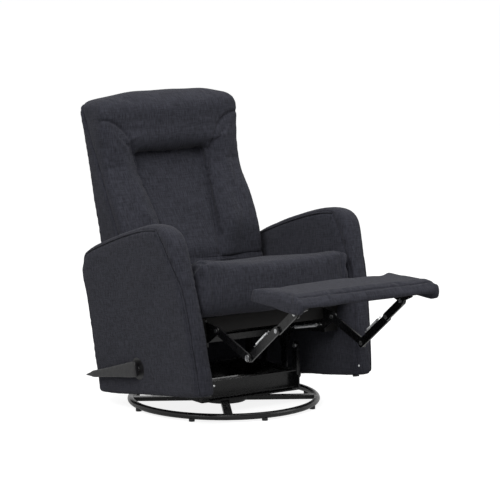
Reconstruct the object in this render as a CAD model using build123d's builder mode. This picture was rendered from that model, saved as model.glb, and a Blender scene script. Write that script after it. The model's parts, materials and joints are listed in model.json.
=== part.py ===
"""Swivel glider recliner with its footrest out.

The chair faces -Y and its sitter's left hand is at +X. The origin is on the floor, in the
middle of the footprint. All sizes are in millimetres and degrees.

Everything above the glide links is drawn in the seat's own level frame, in which v runs
rearward and w runs upward from the bottom front edge of the arms. That frame is tipped
back by the rake angle.
"""
from build123d import *
from math import atan2, cos, degrees, radians, sin, tan
import os

os.makedirs("parts", exist_ok=True)

# ---------------------------------------------------------------- driving dimensions
# where the seat frame and the turning axis stand
rake = 8.0
swivel_y = 184.0
seat_setback = 380.0
arm_front_z = 124.0

# base
ring_radius = 317.0
ring_tube = 22.0
foot_height = 7.0
foot_diameter = 20.0
foot_count = 8
foot_grip = 3.0
spoke_width = 28.0
spoke_height = 14.0
spoke_angle = -31.2
hub_diameter = 150.0
hub_height = 10.0
spindle_diameter = 24.0

# swivelling stand
bearing_diameter = 130.0
bearing_height = 14.0
spindle_chamfer = 1.5
stand_plate = 4.0
stand_length = 330.0
stand_half_width = 200.0
stand_sheet = 4.0
stand_strip = 46.0
stand_flange = 26.0
ear_width = 28.0
channel_height = 58.0
channel_depth = 22.0
channel_sheet = 3.0

# glide links
link_spread = 280.0
link_length = 100.0
upper_pivot_z = 199.0
glide_link_width = 26.0
glide_link_sheet = 4.0
pivot_diameter = 10.0
pivot_head = 16.0
rail_sheet = 4.0
rail_strip = 28.0
rail_post = 32.0
rail_post_spread = 120.0
glide_link_gap = 3.0
glide_rail_gap = 2.0
tube_over_pivot = 16.0
bolt_head = 4.0
bolt_cap = 1.3
cross_tube = 24.0
cross_tube_wall = 2.0

# mechanism side plates
plate_half_width = 240.0
plate_sheet = 4.0
plate_low = 150.0
plate_high = 240.0
plate_front = 100.0
plate_rise = 20.0
plate_neck = 30.0
plate_drop = 12.0
lug_radius = 16.0

# arms
arm_inner = 282.0
arm_thickness = 71.0
arm_flare = 4.0
arm_depth = 630.0
arm_front_curve = ((0.0, 60.0), (6.0, 220.0), (17.0, 340.0), (31.0, 430.0), (42.0, 487.0), (61.0, 534.0))
arm_top_curve = ((103.0, 560.0), (165.0, 567.0), (255.0, 561.0), (350.0, 547.0), (480.0, 521.0))
arm_rear_taper = 26.0
arm_rear_height = 486.0
arm_edge_round = 22.0
arm_rear_bulge = 3.0
arm_rear_hollow = 9.0
arm_rear_drop = 55.0
arm_rear_waist = 280.0
arm_foot_height = 5.0
arm_foot_diameter = 22.0
arm_foot_x = 300.0
arm_foot_v = 30.0
rear_panel_sheet = 12.0
rear_panel_inset = 30.0
rear_panel_low = 46.0
rear_panel_high = 196.0

# wooden seat frame
seat_rail_high = 246.0
seat_rail_low = 196.0
side_rail_low = 152.0
front_rail_v = 102.0
rear_rail_v = 470.0
rail_wood = 28.0
side_rail_gap = 60.0
spring_wire = 3.6
spring_count = 5
spring_bend = 12.0
spring_reach = 18.0
spring_pitch = 92.0

# seat cushion
seat_half_width = 296.0
seat_depth = 464.0
seat_height = 161.0
seat_crown = 9.0
seat_nose = 62.0

# back
back_half_width = 281.0
back_bottom = 264.0
back_top = 1013.0
back_corner = 40.0
back_shoulder = 26.0
back_foot_front = ((540.0, back_bottom), (503.0, 304.0), (490.0, 425.0))
back_belly = ((490.0, 425.0), (505.0, 560.0), (578.0, 737.0), (585.0, 850.0))
back_head_front = ((585.0, 850.0), (583.0, 950.0), (612.0, 1007.0))
back_head_top = ((612.0, 1007.0), (650.0, back_top), (700.0, 999.0))
back_rear = ((722.0, 976.0), (682.0, 720.0), (650.0, 440.0))
back_foot_rear = (636.0, back_bottom)
back_hinge_v = 560.0
back_hinge_w = 235.0
seam_lean = 21.1
seam_v = 541.0
seam_w = 533.0
panel_lean = 22.3
panel_v = 471.5
panel_w = 412.0
panel_top = 795.0
panel_top_half = 147.0
panel_foot_half = 92.0
panel_round = 14.0
back_board = 12.0
back_board_inset = 26.0
back_board_low = 478.0
back_board_high = 940.0
bracket_sheet = 4.0
bracket_flange = 44.0
bracket_gap = 2.0

# lever
lever_v = 346.0
lever_w = 88.0
lever_shaft = 16.0
lever_hub = 64.0
lever_hub_width = 17.0
lever_length = 292.0
lever_root = 46.0
lever_tip = 20.0
lever_droop = 4.5
lever_standoff = 7.0
lever_edge = 3.0
escutcheon_diameter = 74.0
escutcheon_sheet = 3.0

# footrest, drawn out
footrest_half_width = 277.0
footrest_depth = 280.0
footrest_rear_v = -228.0
footrest_high = 349.0
footrest_dip = 5.8
footrest_end = 64.0
footrest_end_rear = 47.0
footrest_pad = 28.0
footrest_crown = 5.0
footrest_rear_round = 9.0
board_wood = 12.0
board_half_width = 210.0
hollow_half_width = 255.0
lug_slot_length = 90.0
board_margin = 14.0

# footrest linkage, pivots in the seat frame
drive_pivot_v = 46.0
drive_pivot_w = 204.0
elbow_v = -120.0
elbow_w = 118.0
board_pivot_along = 155.0
board_pivot_down = 71.7
knee_share = 0.62
linkage_sheet = 6.0
linkage_gap = 2.0
linkage_width = 28.0
rivet_diameter = 9.0
rivet_head = 15.0
rivet_head_height = 1.4
rivet_washer = 1.0
bracket_back = 70.0
bracket_front = 60.0
bracket_rise = 14.0
bracket_foot = 20.0
bracket_foot_sheet = 3.0

# clearances
running = 0.05
face_gap = 0.3
soft_gap = 0.4

# ---------------------------------------------------------------- frames of reference
forward_edge = swivel_y - seat_setback
rearward = Vector(0, cos(radians(rake)), -sin(radians(rake)))
upward = Vector(0, sin(radians(rake)), cos(radians(rake)))
LEFT_RIGHT = ((1, "left"), (-1, "right"))


def seat_point(x, v, w):
    """A point of the tipped seat frame, in the chair's frame."""
    return Vector(x, forward_edge, arm_front_z) + rearward * v + upward * w


def side_plane(x):
    """Upright plane across X, with its axes along v and w."""
    return Plane(origin=seat_point(x, 0, 0), x_dir=rearward, z_dir=(1, 0, 0))


def level_plane(w):
    """Plane of one height in the seat frame, with its axes along x and v."""
    return Plane(origin=seat_point(0, 0, w), x_dir=(1, 0, 0), z_dir=upward)


def front_plane(v):
    """Plane facing forward in the seat frame, with its axes along x and w."""
    return Plane(origin=seat_point(0, v, 0), x_dir=(1, 0, 0), z_dir=-rearward)


def floor_side_plane(x):
    """Upright plane across X, level with the floor, measured from the turning axis."""
    return Plane(origin=(x, swivel_y, 0), x_dir=(0, 1, 0), z_dir=(1, 0, 0))


def arm_face(side, from_inner):
    """Leaning plane of an arm, measured outward from its inner face."""
    outward = Vector(side * cos(radians(arm_flare)), 0, 0) - upward * sin(radians(arm_flare))
    lean = Vector(side * sin(radians(arm_flare)), 0, 0) + upward * cos(radians(arm_flare))
    origin = seat_point(side * arm_inner, 0, 0) + outward * from_inner
    return Plane(origin=origin, x_dir=rearward, z_dir=rearward.cross(lean))


def inner_face_x(w):
    """Distance of an arm's inner face from the middle at one height."""
    return arm_inner + w * tan(radians(arm_flare))


def rest_point(along, down):
    """A point of the footrest's own frame, as v and w: along runs to the toe, down is thickness."""
    dip = radians(footrest_dip)
    v = footrest_rear_v - along * cos(dip) + down * sin(dip)
    w = footrest_high - along * sin(dip) - down * cos(dip)
    return v, w


def save(piece, name):
    """Label a finished piece and write its file."""
    piece.part.label = name
    export_step(piece.part, f"parts/{name}.step")


# ---------------------------------------------------------------- base: ring, spokes, hub, feet
ring_z = foot_height + ring_tube / 2
spoke_top = ring_z + spoke_height / 2
hub_top = spoke_top + hub_height

with BuildPart() as base_ring:
    with Locations((0, swivel_y, ring_z)):
        Torus(ring_radius, ring_tube / 2)
save(base_ring, "base_ring")

with BuildPart() as base_spokes:
    with Locations((0, swivel_y, ring_z)):
        for turn in (spoke_angle, spoke_angle + 90):
            Box(2 * ring_radius, spoke_width, spoke_height, rotation=(0, 0, turn))
        Cylinder(hub_diameter / 2, spoke_height)
        Cylinder(spindle_diameter / 2 + running, spoke_height, mode=Mode.SUBTRACT)
    add(base_ring.part, mode=Mode.SUBTRACT)
save(base_spokes, "base_spokes")

with BuildPart() as base_hub:
    with BuildSketch(Plane.XY.offset(spoke_top)):
        with Locations((0, swivel_y)):
            Rectangle(hub_diameter, hub_diameter, rotation=spoke_angle)
            Circle(spindle_diameter / 2 + running, mode=Mode.SUBTRACT)
    extrude(amount=hub_height)
    fillet(base_hub.edges().filter_by(Axis.Z).sort_by(SortBy.LENGTH)[-4:], hub_height)
save(base_hub, "base_hub")

with BuildPart() as base_feet:
    with BuildSketch(Plane.XY.offset(0)):
        with Locations((0, swivel_y)):
            with PolarLocations(ring_radius, foot_count, start_angle=spoke_angle + 180 / foot_count):
                Circle(foot_diameter / 2)
    extrude(amount=foot_height + foot_grip)
    add(base_ring.part, mode=Mode.SUBTRACT)
save(base_feet, "base_feet")

# ---------------------------------------------------------------- swivelling stand
bearing_bottom = hub_top + face_gap
stand_floor = bearing_bottom + bearing_height
stand_top = stand_floor + stand_plate
ear_y = link_spread / 2
stand_in = stand_half_width - stand_sheet

with BuildPart() as swivel_bearing:
    with Locations((0, swivel_y, bearing_bottom)):
        Cylinder(bearing_diameter / 2, bearing_height, align=(Align.CENTER, Align.CENTER, Align.MIN))
    with Locations((0, swivel_y, bearing_bottom)):
        Cylinder(spindle_diameter / 2, hub_height + spoke_height + face_gap,
                 align=(Align.CENTER, Align.CENTER, Align.MAX))
    chamfer(swivel_bearing.edges().group_by(Axis.Z)[0], spindle_chamfer)
save(swivel_bearing, "swivel_bearing")

with BuildPart() as stand_base:
    with BuildSketch(Plane.XY.offset(stand_floor)):
        with Locations((0, swivel_y)):
            Rectangle(2 * stand_half_width, stand_length)
            with GridLocations(stand_half_width, stand_length / 2, 2, 2):
                Circle(stand_flange, mode=Mode.SUBTRACT)
    extrude(amount=stand_plate)
save(stand_base, "stand_base")

for side, name in LEFT_RIGHT:
    with BuildPart() as stand_side:
        with BuildSketch(floor_side_plane(side * stand_in)):
            with Locations((0, stand_top + stand_strip / 2)):
                Rectangle(stand_length, stand_strip)
            for ear in (-ear_y, ear_y):
                with Locations((ear, (stand_top + upper_pivot_z) / 2)):
                    Rectangle(ear_width, upper_pivot_z - stand_top)
                with Locations((ear, upper_pivot_z)):
                    Circle(ear_width / 2)
                    Circle(pivot_diameter / 2, mode=Mode.SUBTRACT)
        extrude(amount=side * stand_sheet)
        with BuildSketch(Plane.XY.offset(stand_top)):
            flange_x = stand_in - stand_flange / 2
            with Locations((side * flange_x, swivel_y)):
                Rectangle(stand_flange, stand_length)
        extrude(amount=stand_sheet)
    save(stand_side, f"stand_side_{name}")

for end, name in ((-1, "front"), (1, "rear")):
    with BuildPart() as stand_channel:
        channel_low = stand_top + stand_sheet + face_gap
        with BuildSketch(floor_side_plane(-stand_in)):
            with Locations((end * ear_y, channel_low + channel_height / 2)):
                Rectangle(channel_depth, channel_height)
            opening_y = end * (ear_y + channel_sheet)
            with Locations((opening_y, channel_low + channel_height / 2)):
                Rectangle(channel_depth, channel_height - 2 * channel_sheet, mode=Mode.SUBTRACT)
        extrude(amount=2 * stand_in)
    save(stand_channel, f"stand_channel_{name}")

# ---------------------------------------------------------------- glide links and their pivots
glide_in = stand_half_width + glide_link_gap
glide_out = glide_in + glide_link_sheet
rail_in = glide_out + glide_rail_gap
rail_out = rail_in + rail_sheet
lower_pivot_z = upper_pivot_z - link_length

for side, hand in LEFT_RIGHT:
    for end, name in ((-1, "front"), (1, "rear")):
        with BuildPart() as glide_link:
            with BuildSketch(floor_side_plane(side * glide_in)):
                with Locations((end * ear_y, (upper_pivot_z + lower_pivot_z) / 2)):
                    SlotCenterToCenter(link_length, glide_link_width, rotation=90)
                with Locations((end * ear_y, upper_pivot_z), (end * ear_y, lower_pivot_z)):
                    Circle(pivot_diameter / 2 + running, mode=Mode.SUBTRACT)
            extrude(amount=side * glide_link_sheet)
        save(glide_link, f"glide_link_{name}_{hand}")


def stepped_pin(plane_at, side, places, steps):
    """Coaxial discs across X at each place: steps are (x from, x to, diameter)."""
    with BuildPart() as pins:
        for x_from, x_to, diameter in steps:
            with BuildSketch(plane_at(side * x_from)):
                with Locations(*places):
                    Circle(diameter / 2)
            extrude(amount=side * (x_to - x_from))
    return pins.part


head = bolt_head
cap = bolt_cap
with BuildPart() as stand_pivot_bolts:
    for side, hand in LEFT_RIGHT:
        add(stepped_pin(floor_side_plane, side, [(-ear_y, upper_pivot_z), (ear_y, upper_pivot_z)], [
            (stand_in - head, stand_in, pivot_head),
            (stand_in, glide_out + face_gap, pivot_diameter),
            (glide_out + face_gap, glide_out + face_gap + cap, pivot_head)]))
save(stand_pivot_bolts, "stand_pivot_bolts")

with BuildPart() as rail_pivot_bolts:
    for side, hand in LEFT_RIGHT:
        add(stepped_pin(floor_side_plane, side, [(-ear_y, lower_pivot_z), (ear_y, lower_pivot_z)], [
            (glide_in - face_gap - cap, glide_in - face_gap, pivot_head),
            (glide_in - face_gap, rail_out, pivot_diameter),
            (rail_out, rail_out + head, pivot_head)]))
save(rail_pivot_bolts, "rail_pivot_bolts")

# ---------------------------------------------------------------- carriage under the seat
post_y = rail_post_spread / 2
tube_low = upper_pivot_z + ear_width / 2 + tube_over_pivot

for side, name in LEFT_RIGHT:
    with BuildPart() as carriage_rail:
        with BuildSketch(floor_side_plane(side * rail_in)):
            with Locations((0, lower_pivot_z)):
                SlotCenterToCenter(link_spread, rail_strip)
            for post in (-post_y, post_y):
                with Locations((post, (lower_pivot_z + tube_low) / 2)):
                    Rectangle(rail_post, tube_low - lower_pivot_z)
            with Locations((-ear_y, lower_pivot_z), (ear_y, lower_pivot_z)):
                Circle(pivot_diameter / 2, mode=Mode.SUBTRACT)
        extrude(amount=side * rail_sheet)
    save(carriage_rail, f"carriage_rail_{name}")

plate_in = plate_half_width - plate_sheet
for end, name in ((-1, "front"), (1, "rear")):
    with BuildPart() as carriage_tube:
        with BuildSketch(floor_side_plane(-plate_in)):
            with Locations((end * post_y, tube_low + cross_tube / 2)):
                RectangleRounded(cross_tube, cross_tube, cross_tube_wall)
                Rectangle(cross_tube - 2 * cross_tube_wall, cross_tube - 2 * cross_tube_wall,
                          mode=Mode.SUBTRACT)
        extrude(amount=2 * plate_in)
    save(carriage_tube, f"carriage_tube_{name}")

for side, name in LEFT_RIGHT:
    with BuildPart() as mechanism_plate:
        with BuildSketch(side_plane(side * plate_in)):
            with BuildLine():
                Polyline((plate_front, plate_low), (back_hinge_v, plate_low + plate_rise),
                         (back_hinge_v, plate_high), (plate_front, plate_high), close=True)
            make_face()
            with BuildLine():
                neck_v = plate_front + plate_neck
                Polyline((drive_pivot_v, drive_pivot_w - lug_radius), (neck_v, plate_low),
                         (neck_v, plate_high), (drive_pivot_v, drive_pivot_w + lug_radius),
                         close=True)
            make_face()
            with BuildLine():
                Polyline((lever_v - lug_radius, lever_w), (lever_v + lug_radius, lever_w),
                         (lever_v + 3 * lug_radius, plate_low + plate_drop),
                         (lever_v - 3 * lug_radius, plate_low + plate_drop), close=True)
            make_face()
            with Locations((drive_pivot_v, drive_pivot_w), (back_hinge_v, back_hinge_w),
                           (lever_v, lever_w)):
                Circle(lug_radius)
            with Locations((drive_pivot_v, drive_pivot_w)):
                Circle(rivet_diameter / 2 + running, mode=Mode.SUBTRACT)
            with Locations((back_hinge_v, back_hinge_w)):
                Circle(pivot_diameter / 2, mode=Mode.SUBTRACT)
            with Locations((lever_v, lever_w)):
                Circle(lever_shaft / 2 + running, mode=Mode.SUBTRACT)
        extrude(amount=side * plate_sheet)
    save(mechanism_plate, f"mechanism_plate_{name}")

# ---------------------------------------------------------------- wooden seat frame and springs
for side, name in LEFT_RIGHT:
    with BuildPart() as seat_side_rail:
        with BuildSketch(front_plane(plate_front)):
            with BuildLine():
                Polyline((side * plate_half_width, side_rail_low),
                         (side * inner_face_x(side_rail_low), side_rail_low),
                         (side * inner_face_x(seat_rail_high), seat_rail_high),
                         (side * plate_half_width, seat_rail_high), close=True)
            make_face()
        extrude(amount=plate_front + side_rail_gap - back_hinge_v)
    save(seat_side_rail, f"seat_side_rail_{name}")

for rail_v, name in ((front_rail_v, "front"), (rear_rail_v, "rear")):
    with BuildPart() as seat_cross_rail:
        with BuildSketch(side_plane(-plate_in)):
            with Locations((rail_v + rail_wood / 2, (seat_rail_low + seat_rail_high) / 2)):
                Rectangle(rail_wood, seat_rail_high - seat_rail_low)
        extrude(amount=2 * plate_in)
    save(seat_cross_rail, f"seat_rail_{name}")

spring_first = front_rail_v + rail_wood / 2
spring_last = rear_rail_v + rail_wood / 2
bends = int((spring_last - spring_first) / (2 * spring_bend))
spring_level = seat_rail_high + spring_wire / 2
with BuildPart() as seat_springs:
    for number in range(spring_count):
        middle = (number - (spring_count - 1) / 2) * spring_pitch
        with BuildLine(level_plane(spring_level)) as wire_path:
            reach = spring_reach
            v = spring_first
            Line((middle, v), (middle + reach, v))
            for bend in range(bends):
                nose = middle + reach + (spring_bend if reach > 0 else -spring_bend)
                ThreePointArc((middle + reach, v), (nose, v + spring_bend),
                              (middle + reach, v + 2 * spring_bend))
                v += 2 * spring_bend
                end_x = middle - reach if bend < bends - 1 else middle
                Line((middle + reach, v), (end_x, v))
                reach = -reach
        with BuildSketch(Plane(origin=wire_path.line @ 0, z_dir=wire_path.line % 0)):
            Circle(spring_wire / 2)
        sweep(path=wire_path.line)
save(seat_springs, "seat_springs")

# ---------------------------------------------------------------- arms
rear_top = (arm_depth - arm_rear_taper, arm_rear_height)
for side, name in LEFT_RIGHT:
    with BuildPart() as arm:
        with BuildSketch(arm_face(side, 0)) as outline:
            with BuildLine():
                Line((0, -arm_thickness), arm_front_curve[0])
                Spline(*arm_front_curve, arm_top_curve[0], tangents=((0, 1), (1, 0.3)))
                Spline(*arm_top_curve, rear_top, tangents=((1, 0.3), (1, -0.36)))
                Polyline(rear_top,
                         (arm_depth + arm_rear_bulge, arm_rear_height - arm_rear_drop),
                         (arm_depth - arm_rear_hollow, arm_rear_waist),
                         (arm_depth, -arm_thickness), (0, -arm_thickness))
            make_face()
            rear_corners = outline.vertices().sort_by(Axis((0, forward_edge, 0), rearward))[-3:]
            fillet(rear_corners.sort_by(Axis.Z)[-1:], arm_edge_round)
        extrude(amount=side * arm_thickness)
        long_edges = arm.edges().filter_by(lambda edge: abs(edge.tangent_at(0.5).X) < 0.05)
        fillet(long_edges.filter_by(lambda edge: edge.center().Z > arm_front_z + 40
                                    or abs(edge.tangent_at(0.5).Z) > 0.9), arm_edge_round)
        split(bisect_by=level_plane(0), keep=Keep.TOP)
        if name == "right":
            with BuildSketch(side_plane(-arm_inner)):
                with Locations((lever_v, lever_w)):
                    Circle(lever_shaft / 2 + soft_gap)
            extrude(amount=3 * arm_thickness, both=True, mode=Mode.SUBTRACT)
    save(arm, f"arm_{name}")

with BuildPart() as rear_panel:
    with BuildSketch(front_plane(arm_depth - rear_panel_inset)):
        with BuildLine():
            Polyline((-inner_face_x(rear_panel_low), rear_panel_low),
                     (inner_face_x(rear_panel_low), rear_panel_low),
                     (inner_face_x(rear_panel_high), rear_panel_high),
                     (-inner_face_x(rear_panel_high), rear_panel_high), close=True)
        make_face()
    extrude(amount=-rear_panel_sheet)
save(rear_panel, "rear_panel")

with BuildPart() as arm_feet:
    with BuildSketch(level_plane(0)):
        with Locations((-arm_foot_x, arm_foot_v), (arm_foot_x, arm_foot_v)):
            Circle(arm_foot_diameter / 2)
    extrude(amount=-arm_foot_height)
save(arm_feet, "arm_feet")

# ---------------------------------------------------------------- seat cushion
seat_bottom = seat_rail_high + spring_wire + soft_gap
seat_top = seat_bottom + seat_height
with BuildPart() as seat_cushion:
    for x, drawn_in in ((-seat_half_width, seat_crown), (0, 0), (seat_half_width, seat_crown)):
        with BuildSketch(side_plane(x)) as cushion_side:
            nose_v = drawn_in
            top_w = seat_top + seat_crown - drawn_in
            with BuildLine():
                Polyline((seat_depth, seat_bottom), (nose_v, seat_bottom), (nose_v, top_w - seat_crown))
                ThreePointArc((nose_v, top_w - seat_crown), (seat_depth * 0.45, top_w),
                              (seat_depth, top_w - 2 * seat_crown))
                Line((seat_depth, top_w - 2 * seat_crown), (seat_depth, seat_bottom))
            make_face()
            nose_corners = cushion_side.vertices().sort_by(Axis((0, 0, 0), rearward))[:2]
            fillet(nose_corners, seat_nose)
    loft()
save(seat_cushion, "seat_cushion")

# ---------------------------------------------------------------- back
def leaning_plane(v, w, lean):
    """Plane across the back that faces forward, leans by an angle, and runs up its own y."""
    facing = upward * sin(radians(lean)) - rearward * cos(radians(lean))
    return Plane(origin=seat_point(0, v, w), x_dir=(1, 0, 0), z_dir=facing)


seam_plane = leaning_plane(seam_v, seam_w, seam_lean)

with BuildPart() as back_form:
    with BuildSketch(side_plane(0)) as back_side:
        with BuildLine():
            Polyline(*back_foot_front)
            Spline(*back_belly, tangents=((0, 1), (-0.05, 1)))
            Polyline(*back_head_front)
            ThreePointArc(*back_head_top)
            Line(back_head_top[-1], back_rear[0])
            ThreePointArc(*back_rear)
            Polyline(back_rear[-1], back_foot_rear, back_foot_front[0])
        make_face()
    extrude(amount=back_half_width, both=True)
    with BuildSketch(front_plane(0)) as back_front:
        with BuildLine():
            half = back_half_width
            Line((-half, back_bottom), (half, back_bottom))
            Line((half, back_bottom), (half, back_top - back_shoulder))
            ThreePointArc((half, back_top - back_shoulder), (0, back_top),
                          (-half, back_top - back_shoulder))
            Line((-half, back_top - back_shoulder), (-half, back_bottom))
        make_face()
        fillet(back_front.vertices().group_by(Axis.Z)[-1], back_corner)
    extrude(amount=-back_top, mode=Mode.INTERSECT)

with BuildPart() as back_cushion:
    add(back_form.part)
    split(bisect_by=seam_plane, keep=Keep.TOP)
    rise = (panel_top - panel_w) / cos(radians(panel_lean))
    fall = (panel_w - back_bottom) / cos(radians(panel_lean))
    with BuildSketch(leaning_plane(panel_v, panel_w, panel_lean)) as recess:
        with BuildLine():
            Polyline((-panel_foot_half, -fall), (panel_foot_half, -fall), (panel_top_half, rise),
                     (-panel_top_half, rise), close=True)
        make_face()
        fillet(recess.vertices().group_by(Axis.Z)[-1], panel_round)
    extrude(amount=back_half_width, mode=Mode.SUBTRACT)
save(back_cushion, "back_cushion")

with BuildPart() as back_board_panel:
    with BuildSketch(seam_plane):
        rise = (back_board_high - seam_w) / cos(radians(seam_lean))
        fall = (seam_w - back_board_low) / cos(radians(seam_lean))
        with Locations((0, (rise - fall) / 2)):
            Rectangle(2 * (back_half_width - back_board_inset), rise + fall)
    extrude(amount=-back_board)
save(back_board_panel, "back_board")

with BuildPart() as back_shell:
    add(back_form.part)
    split(bisect_by=seam_plane, keep=Keep.BOTTOM)
    add(back_board_panel.part, mode=Mode.SUBTRACT)
save(back_shell, "back_shell")

bracket_in = plate_half_width + bracket_gap
bracket_out = bracket_in + bracket_sheet
flange_low = back_bottom - bracket_sheet
for side, name in LEFT_RIGHT:
    with BuildPart() as back_bracket:
        with BuildSketch(side_plane(side * bracket_in)):
            with BuildLine():
                Polyline((back_hinge_v - lug_radius, back_hinge_w), (back_hinge_v + lug_radius, back_hinge_w),
                         (back_hinge_v + 2 * lug_radius, back_bottom),
                         (back_hinge_v - lug_radius, back_bottom), close=True)
            make_face()
            with Locations((back_hinge_v, back_hinge_w)):
                Circle(lug_radius)
                Circle(pivot_diameter / 2 + running, mode=Mode.SUBTRACT)
        extrude(amount=side * bracket_sheet)
        with BuildSketch(level_plane(flange_low)):
            with Locations((side * (bracket_out - bracket_flange / 2), back_hinge_v + lug_radius / 2)):
                Rectangle(bracket_flange, 3 * lug_radius)
        extrude(amount=bracket_sheet)
    save(back_bracket, f"back_bracket_{name}")

with BuildPart() as back_hinge_pins:
    for side, hand in LEFT_RIGHT:
        add(stepped_pin(side_plane, side, [(back_hinge_v, back_hinge_w)], [
            (plate_in - head, plate_in, pivot_head),
            (plate_in, bracket_out + face_gap, pivot_diameter),
            (bracket_out + face_gap, bracket_out + face_gap + cap, pivot_head)]))
save(back_hinge_pins, "back_hinge_pins")

# ---------------------------------------------------------------- lever on the right arm
flare = radians(arm_flare)
outer_x = -(arm_inner + arm_thickness / cos(flare) + lever_w * tan(flare))
hub_face_x = outer_x - escutcheon_sheet - lever_standoff
up_the_face = (lever_w + arm_thickness * sin(flare)) / cos(flare)
with BuildPart() as lever_escutcheon:
    with BuildSketch(arm_face(-1, arm_thickness)):
        with Locations((lever_v, up_the_face)):
            Circle(escutcheon_diameter / 2)
    extrude(amount=-escutcheon_sheet)
    with BuildSketch(side_plane(-arm_inner)):
        with Locations((lever_v, lever_w)):
            Circle(lever_shaft / 2 + soft_gap)
    extrude(amount=-2 * arm_thickness, mode=Mode.SUBTRACT)
save(lever_escutcheon, "lever_escutcheon")

with BuildPart() as lever_shaft_rod:
    with BuildSketch(side_plane(-plate_in + head)):
        with Locations((lever_v, lever_w)):
            Circle(lever_shaft / 2)
    extrude(amount=hub_face_x + plate_in - head)
save(lever_shaft_rod, "lever_shaft")

with BuildPart() as lever_handle:
    with BuildSketch(side_plane(hub_face_x)) as paddle:
        with Locations((lever_v, lever_w)):
            Circle(lever_hub / 2)
        droop = radians(lever_droop)
        tip_v = lever_v + lever_length * cos(droop)
        tip_w = lever_w - lever_length * sin(droop)
        with BuildLine():
            Polyline((lever_v, lever_w + lever_root / 2), (tip_v, tip_w + lever_tip / 2),
                     (tip_v + lever_tip, tip_w - lever_tip / 2), (lever_v, lever_w - lever_root / 2),
                     close=True)
        make_face()
    extrude(amount=-lever_hub_width)
    chamfer(lever_handle.faces().sort_by(Axis.X)[0].edges(), lever_edge)
save(lever_handle, "lever_handle")

# ---------------------------------------------------------------- footrest, drawn out
def rest_plane(along, down):
    """Plane of the footrest at one point, with its axes along x and back from the toe."""
    v, w = rest_point(along, down)
    dip = radians(footrest_dip)
    facing = upward * cos(dip) - rearward * sin(dip)
    return Plane(origin=seat_point(0, v, w), x_dir=(1, 0, 0), z_dir=facing)


with BuildPart() as footrest_board:
    with BuildSketch(rest_plane(board_margin, footrest_pad)):
        length = footrest_depth - 2 * board_margin
        with Locations((0, -length / 2)):
            Rectangle(2 * board_half_width, length)
    extrude(amount=-board_wood)
save(footrest_board, "footrest_board")

with BuildPart() as footrest_cushion:
    toe = footrest_depth
    nose = 0.45 * footrest_end
    sections = ((-footrest_half_width, footrest_crown), (0, 0), (footrest_half_width, footrest_crown))
    for x, drawn_in in sections:
        with BuildSketch(side_plane(x)) as pad_side:
            tip = toe - drawn_in
            with BuildLine():
                Line(rest_point(0, drawn_in), rest_point(tip - 2.1 * nose, drawn_in))
                ThreePointArc(rest_point(tip - 2.1 * nose, drawn_in),
                              rest_point(tip - 0.5 * nose, drawn_in + 0.35 * nose),
                              rest_point(tip, nose))
                ThreePointArc(rest_point(tip, nose), rest_point(tip - 0.25 * nose, 0.8 * footrest_end),
                              rest_point(tip - 1.1 * nose, footrest_end))
                Polyline(rest_point(tip - 1.1 * nose, footrest_end), rest_point(0, footrest_end_rear),
                         rest_point(0, drawn_in))
            make_face()
            rear_edges = pad_side.vertices().sort_by(Axis((0, 0, 0), rearward))[-2:]
            fillet(rear_edges, footrest_rear_round)
    loft()
    with BuildSketch(rest_plane(-footrest_end, footrest_pad + board_wood)):
        with Locations((0, -toe)):
            Rectangle(2 * hollow_half_width, 3 * toe)
    extrude(amount=-2 * footrest_end, mode=Mode.SUBTRACT)
    with BuildSketch(rest_plane(-footrest_end, footrest_pad)):
        for side, name in LEFT_RIGHT:
            with Locations((side * (board_half_width + hollow_half_width) / 2, -lug_slot_length / 2)):
                Rectangle(hollow_half_width - board_half_width, lug_slot_length + 2 * footrest_end)
    extrude(amount=-2 * footrest_end, mode=Mode.SUBTRACT)
    add(footrest_board.part, mode=Mode.SUBTRACT)
save(footrest_cushion, "footrest_cushion")

# ---------------------------------------------------------------- footrest linkage
drive_pivot = (drive_pivot_v, drive_pivot_w)
elbow = (elbow_v, elbow_w)
board_pivot = rest_point(board_pivot_along, board_pivot_down)
knee = tuple(e + knee_share * (b - e) for e, b in zip(elbow, board_pivot))

layer = linkage_sheet + linkage_gap
drive_in = plate_in - layer
mid_in = drive_in - layer
upper_in = mid_in - layer
bracket_layer = upper_in - layer
grip = rivet_head_height
under = footrest_pad + board_wood
bracket_rear = board_pivot_along - bracket_back
bracket_toe = board_pivot_along + bracket_front


def link_plate(plane_at, side, inner_x, near, far, near_hole, far_hole):
    """A flat link with round ends between two pivots."""
    angle = degrees(atan2(far[1] - near[1], far[0] - near[0]))
    length = (Vector(*far) - Vector(*near)).length
    middle = ((near[0] + far[0]) / 2, (near[1] + far[1]) / 2)
    with BuildPart() as link:
        with BuildSketch(plane_at(side * inner_x)):
            with Locations(middle):
                SlotCenterToCenter(length, linkage_width, rotation=angle)
            with Locations(near):
                Circle(near_hole / 2, mode=Mode.SUBTRACT)
            with Locations(far):
                Circle(far_hole / 2, mode=Mode.SUBTRACT)
        extrude(amount=side * linkage_sheet)
    return link


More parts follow.
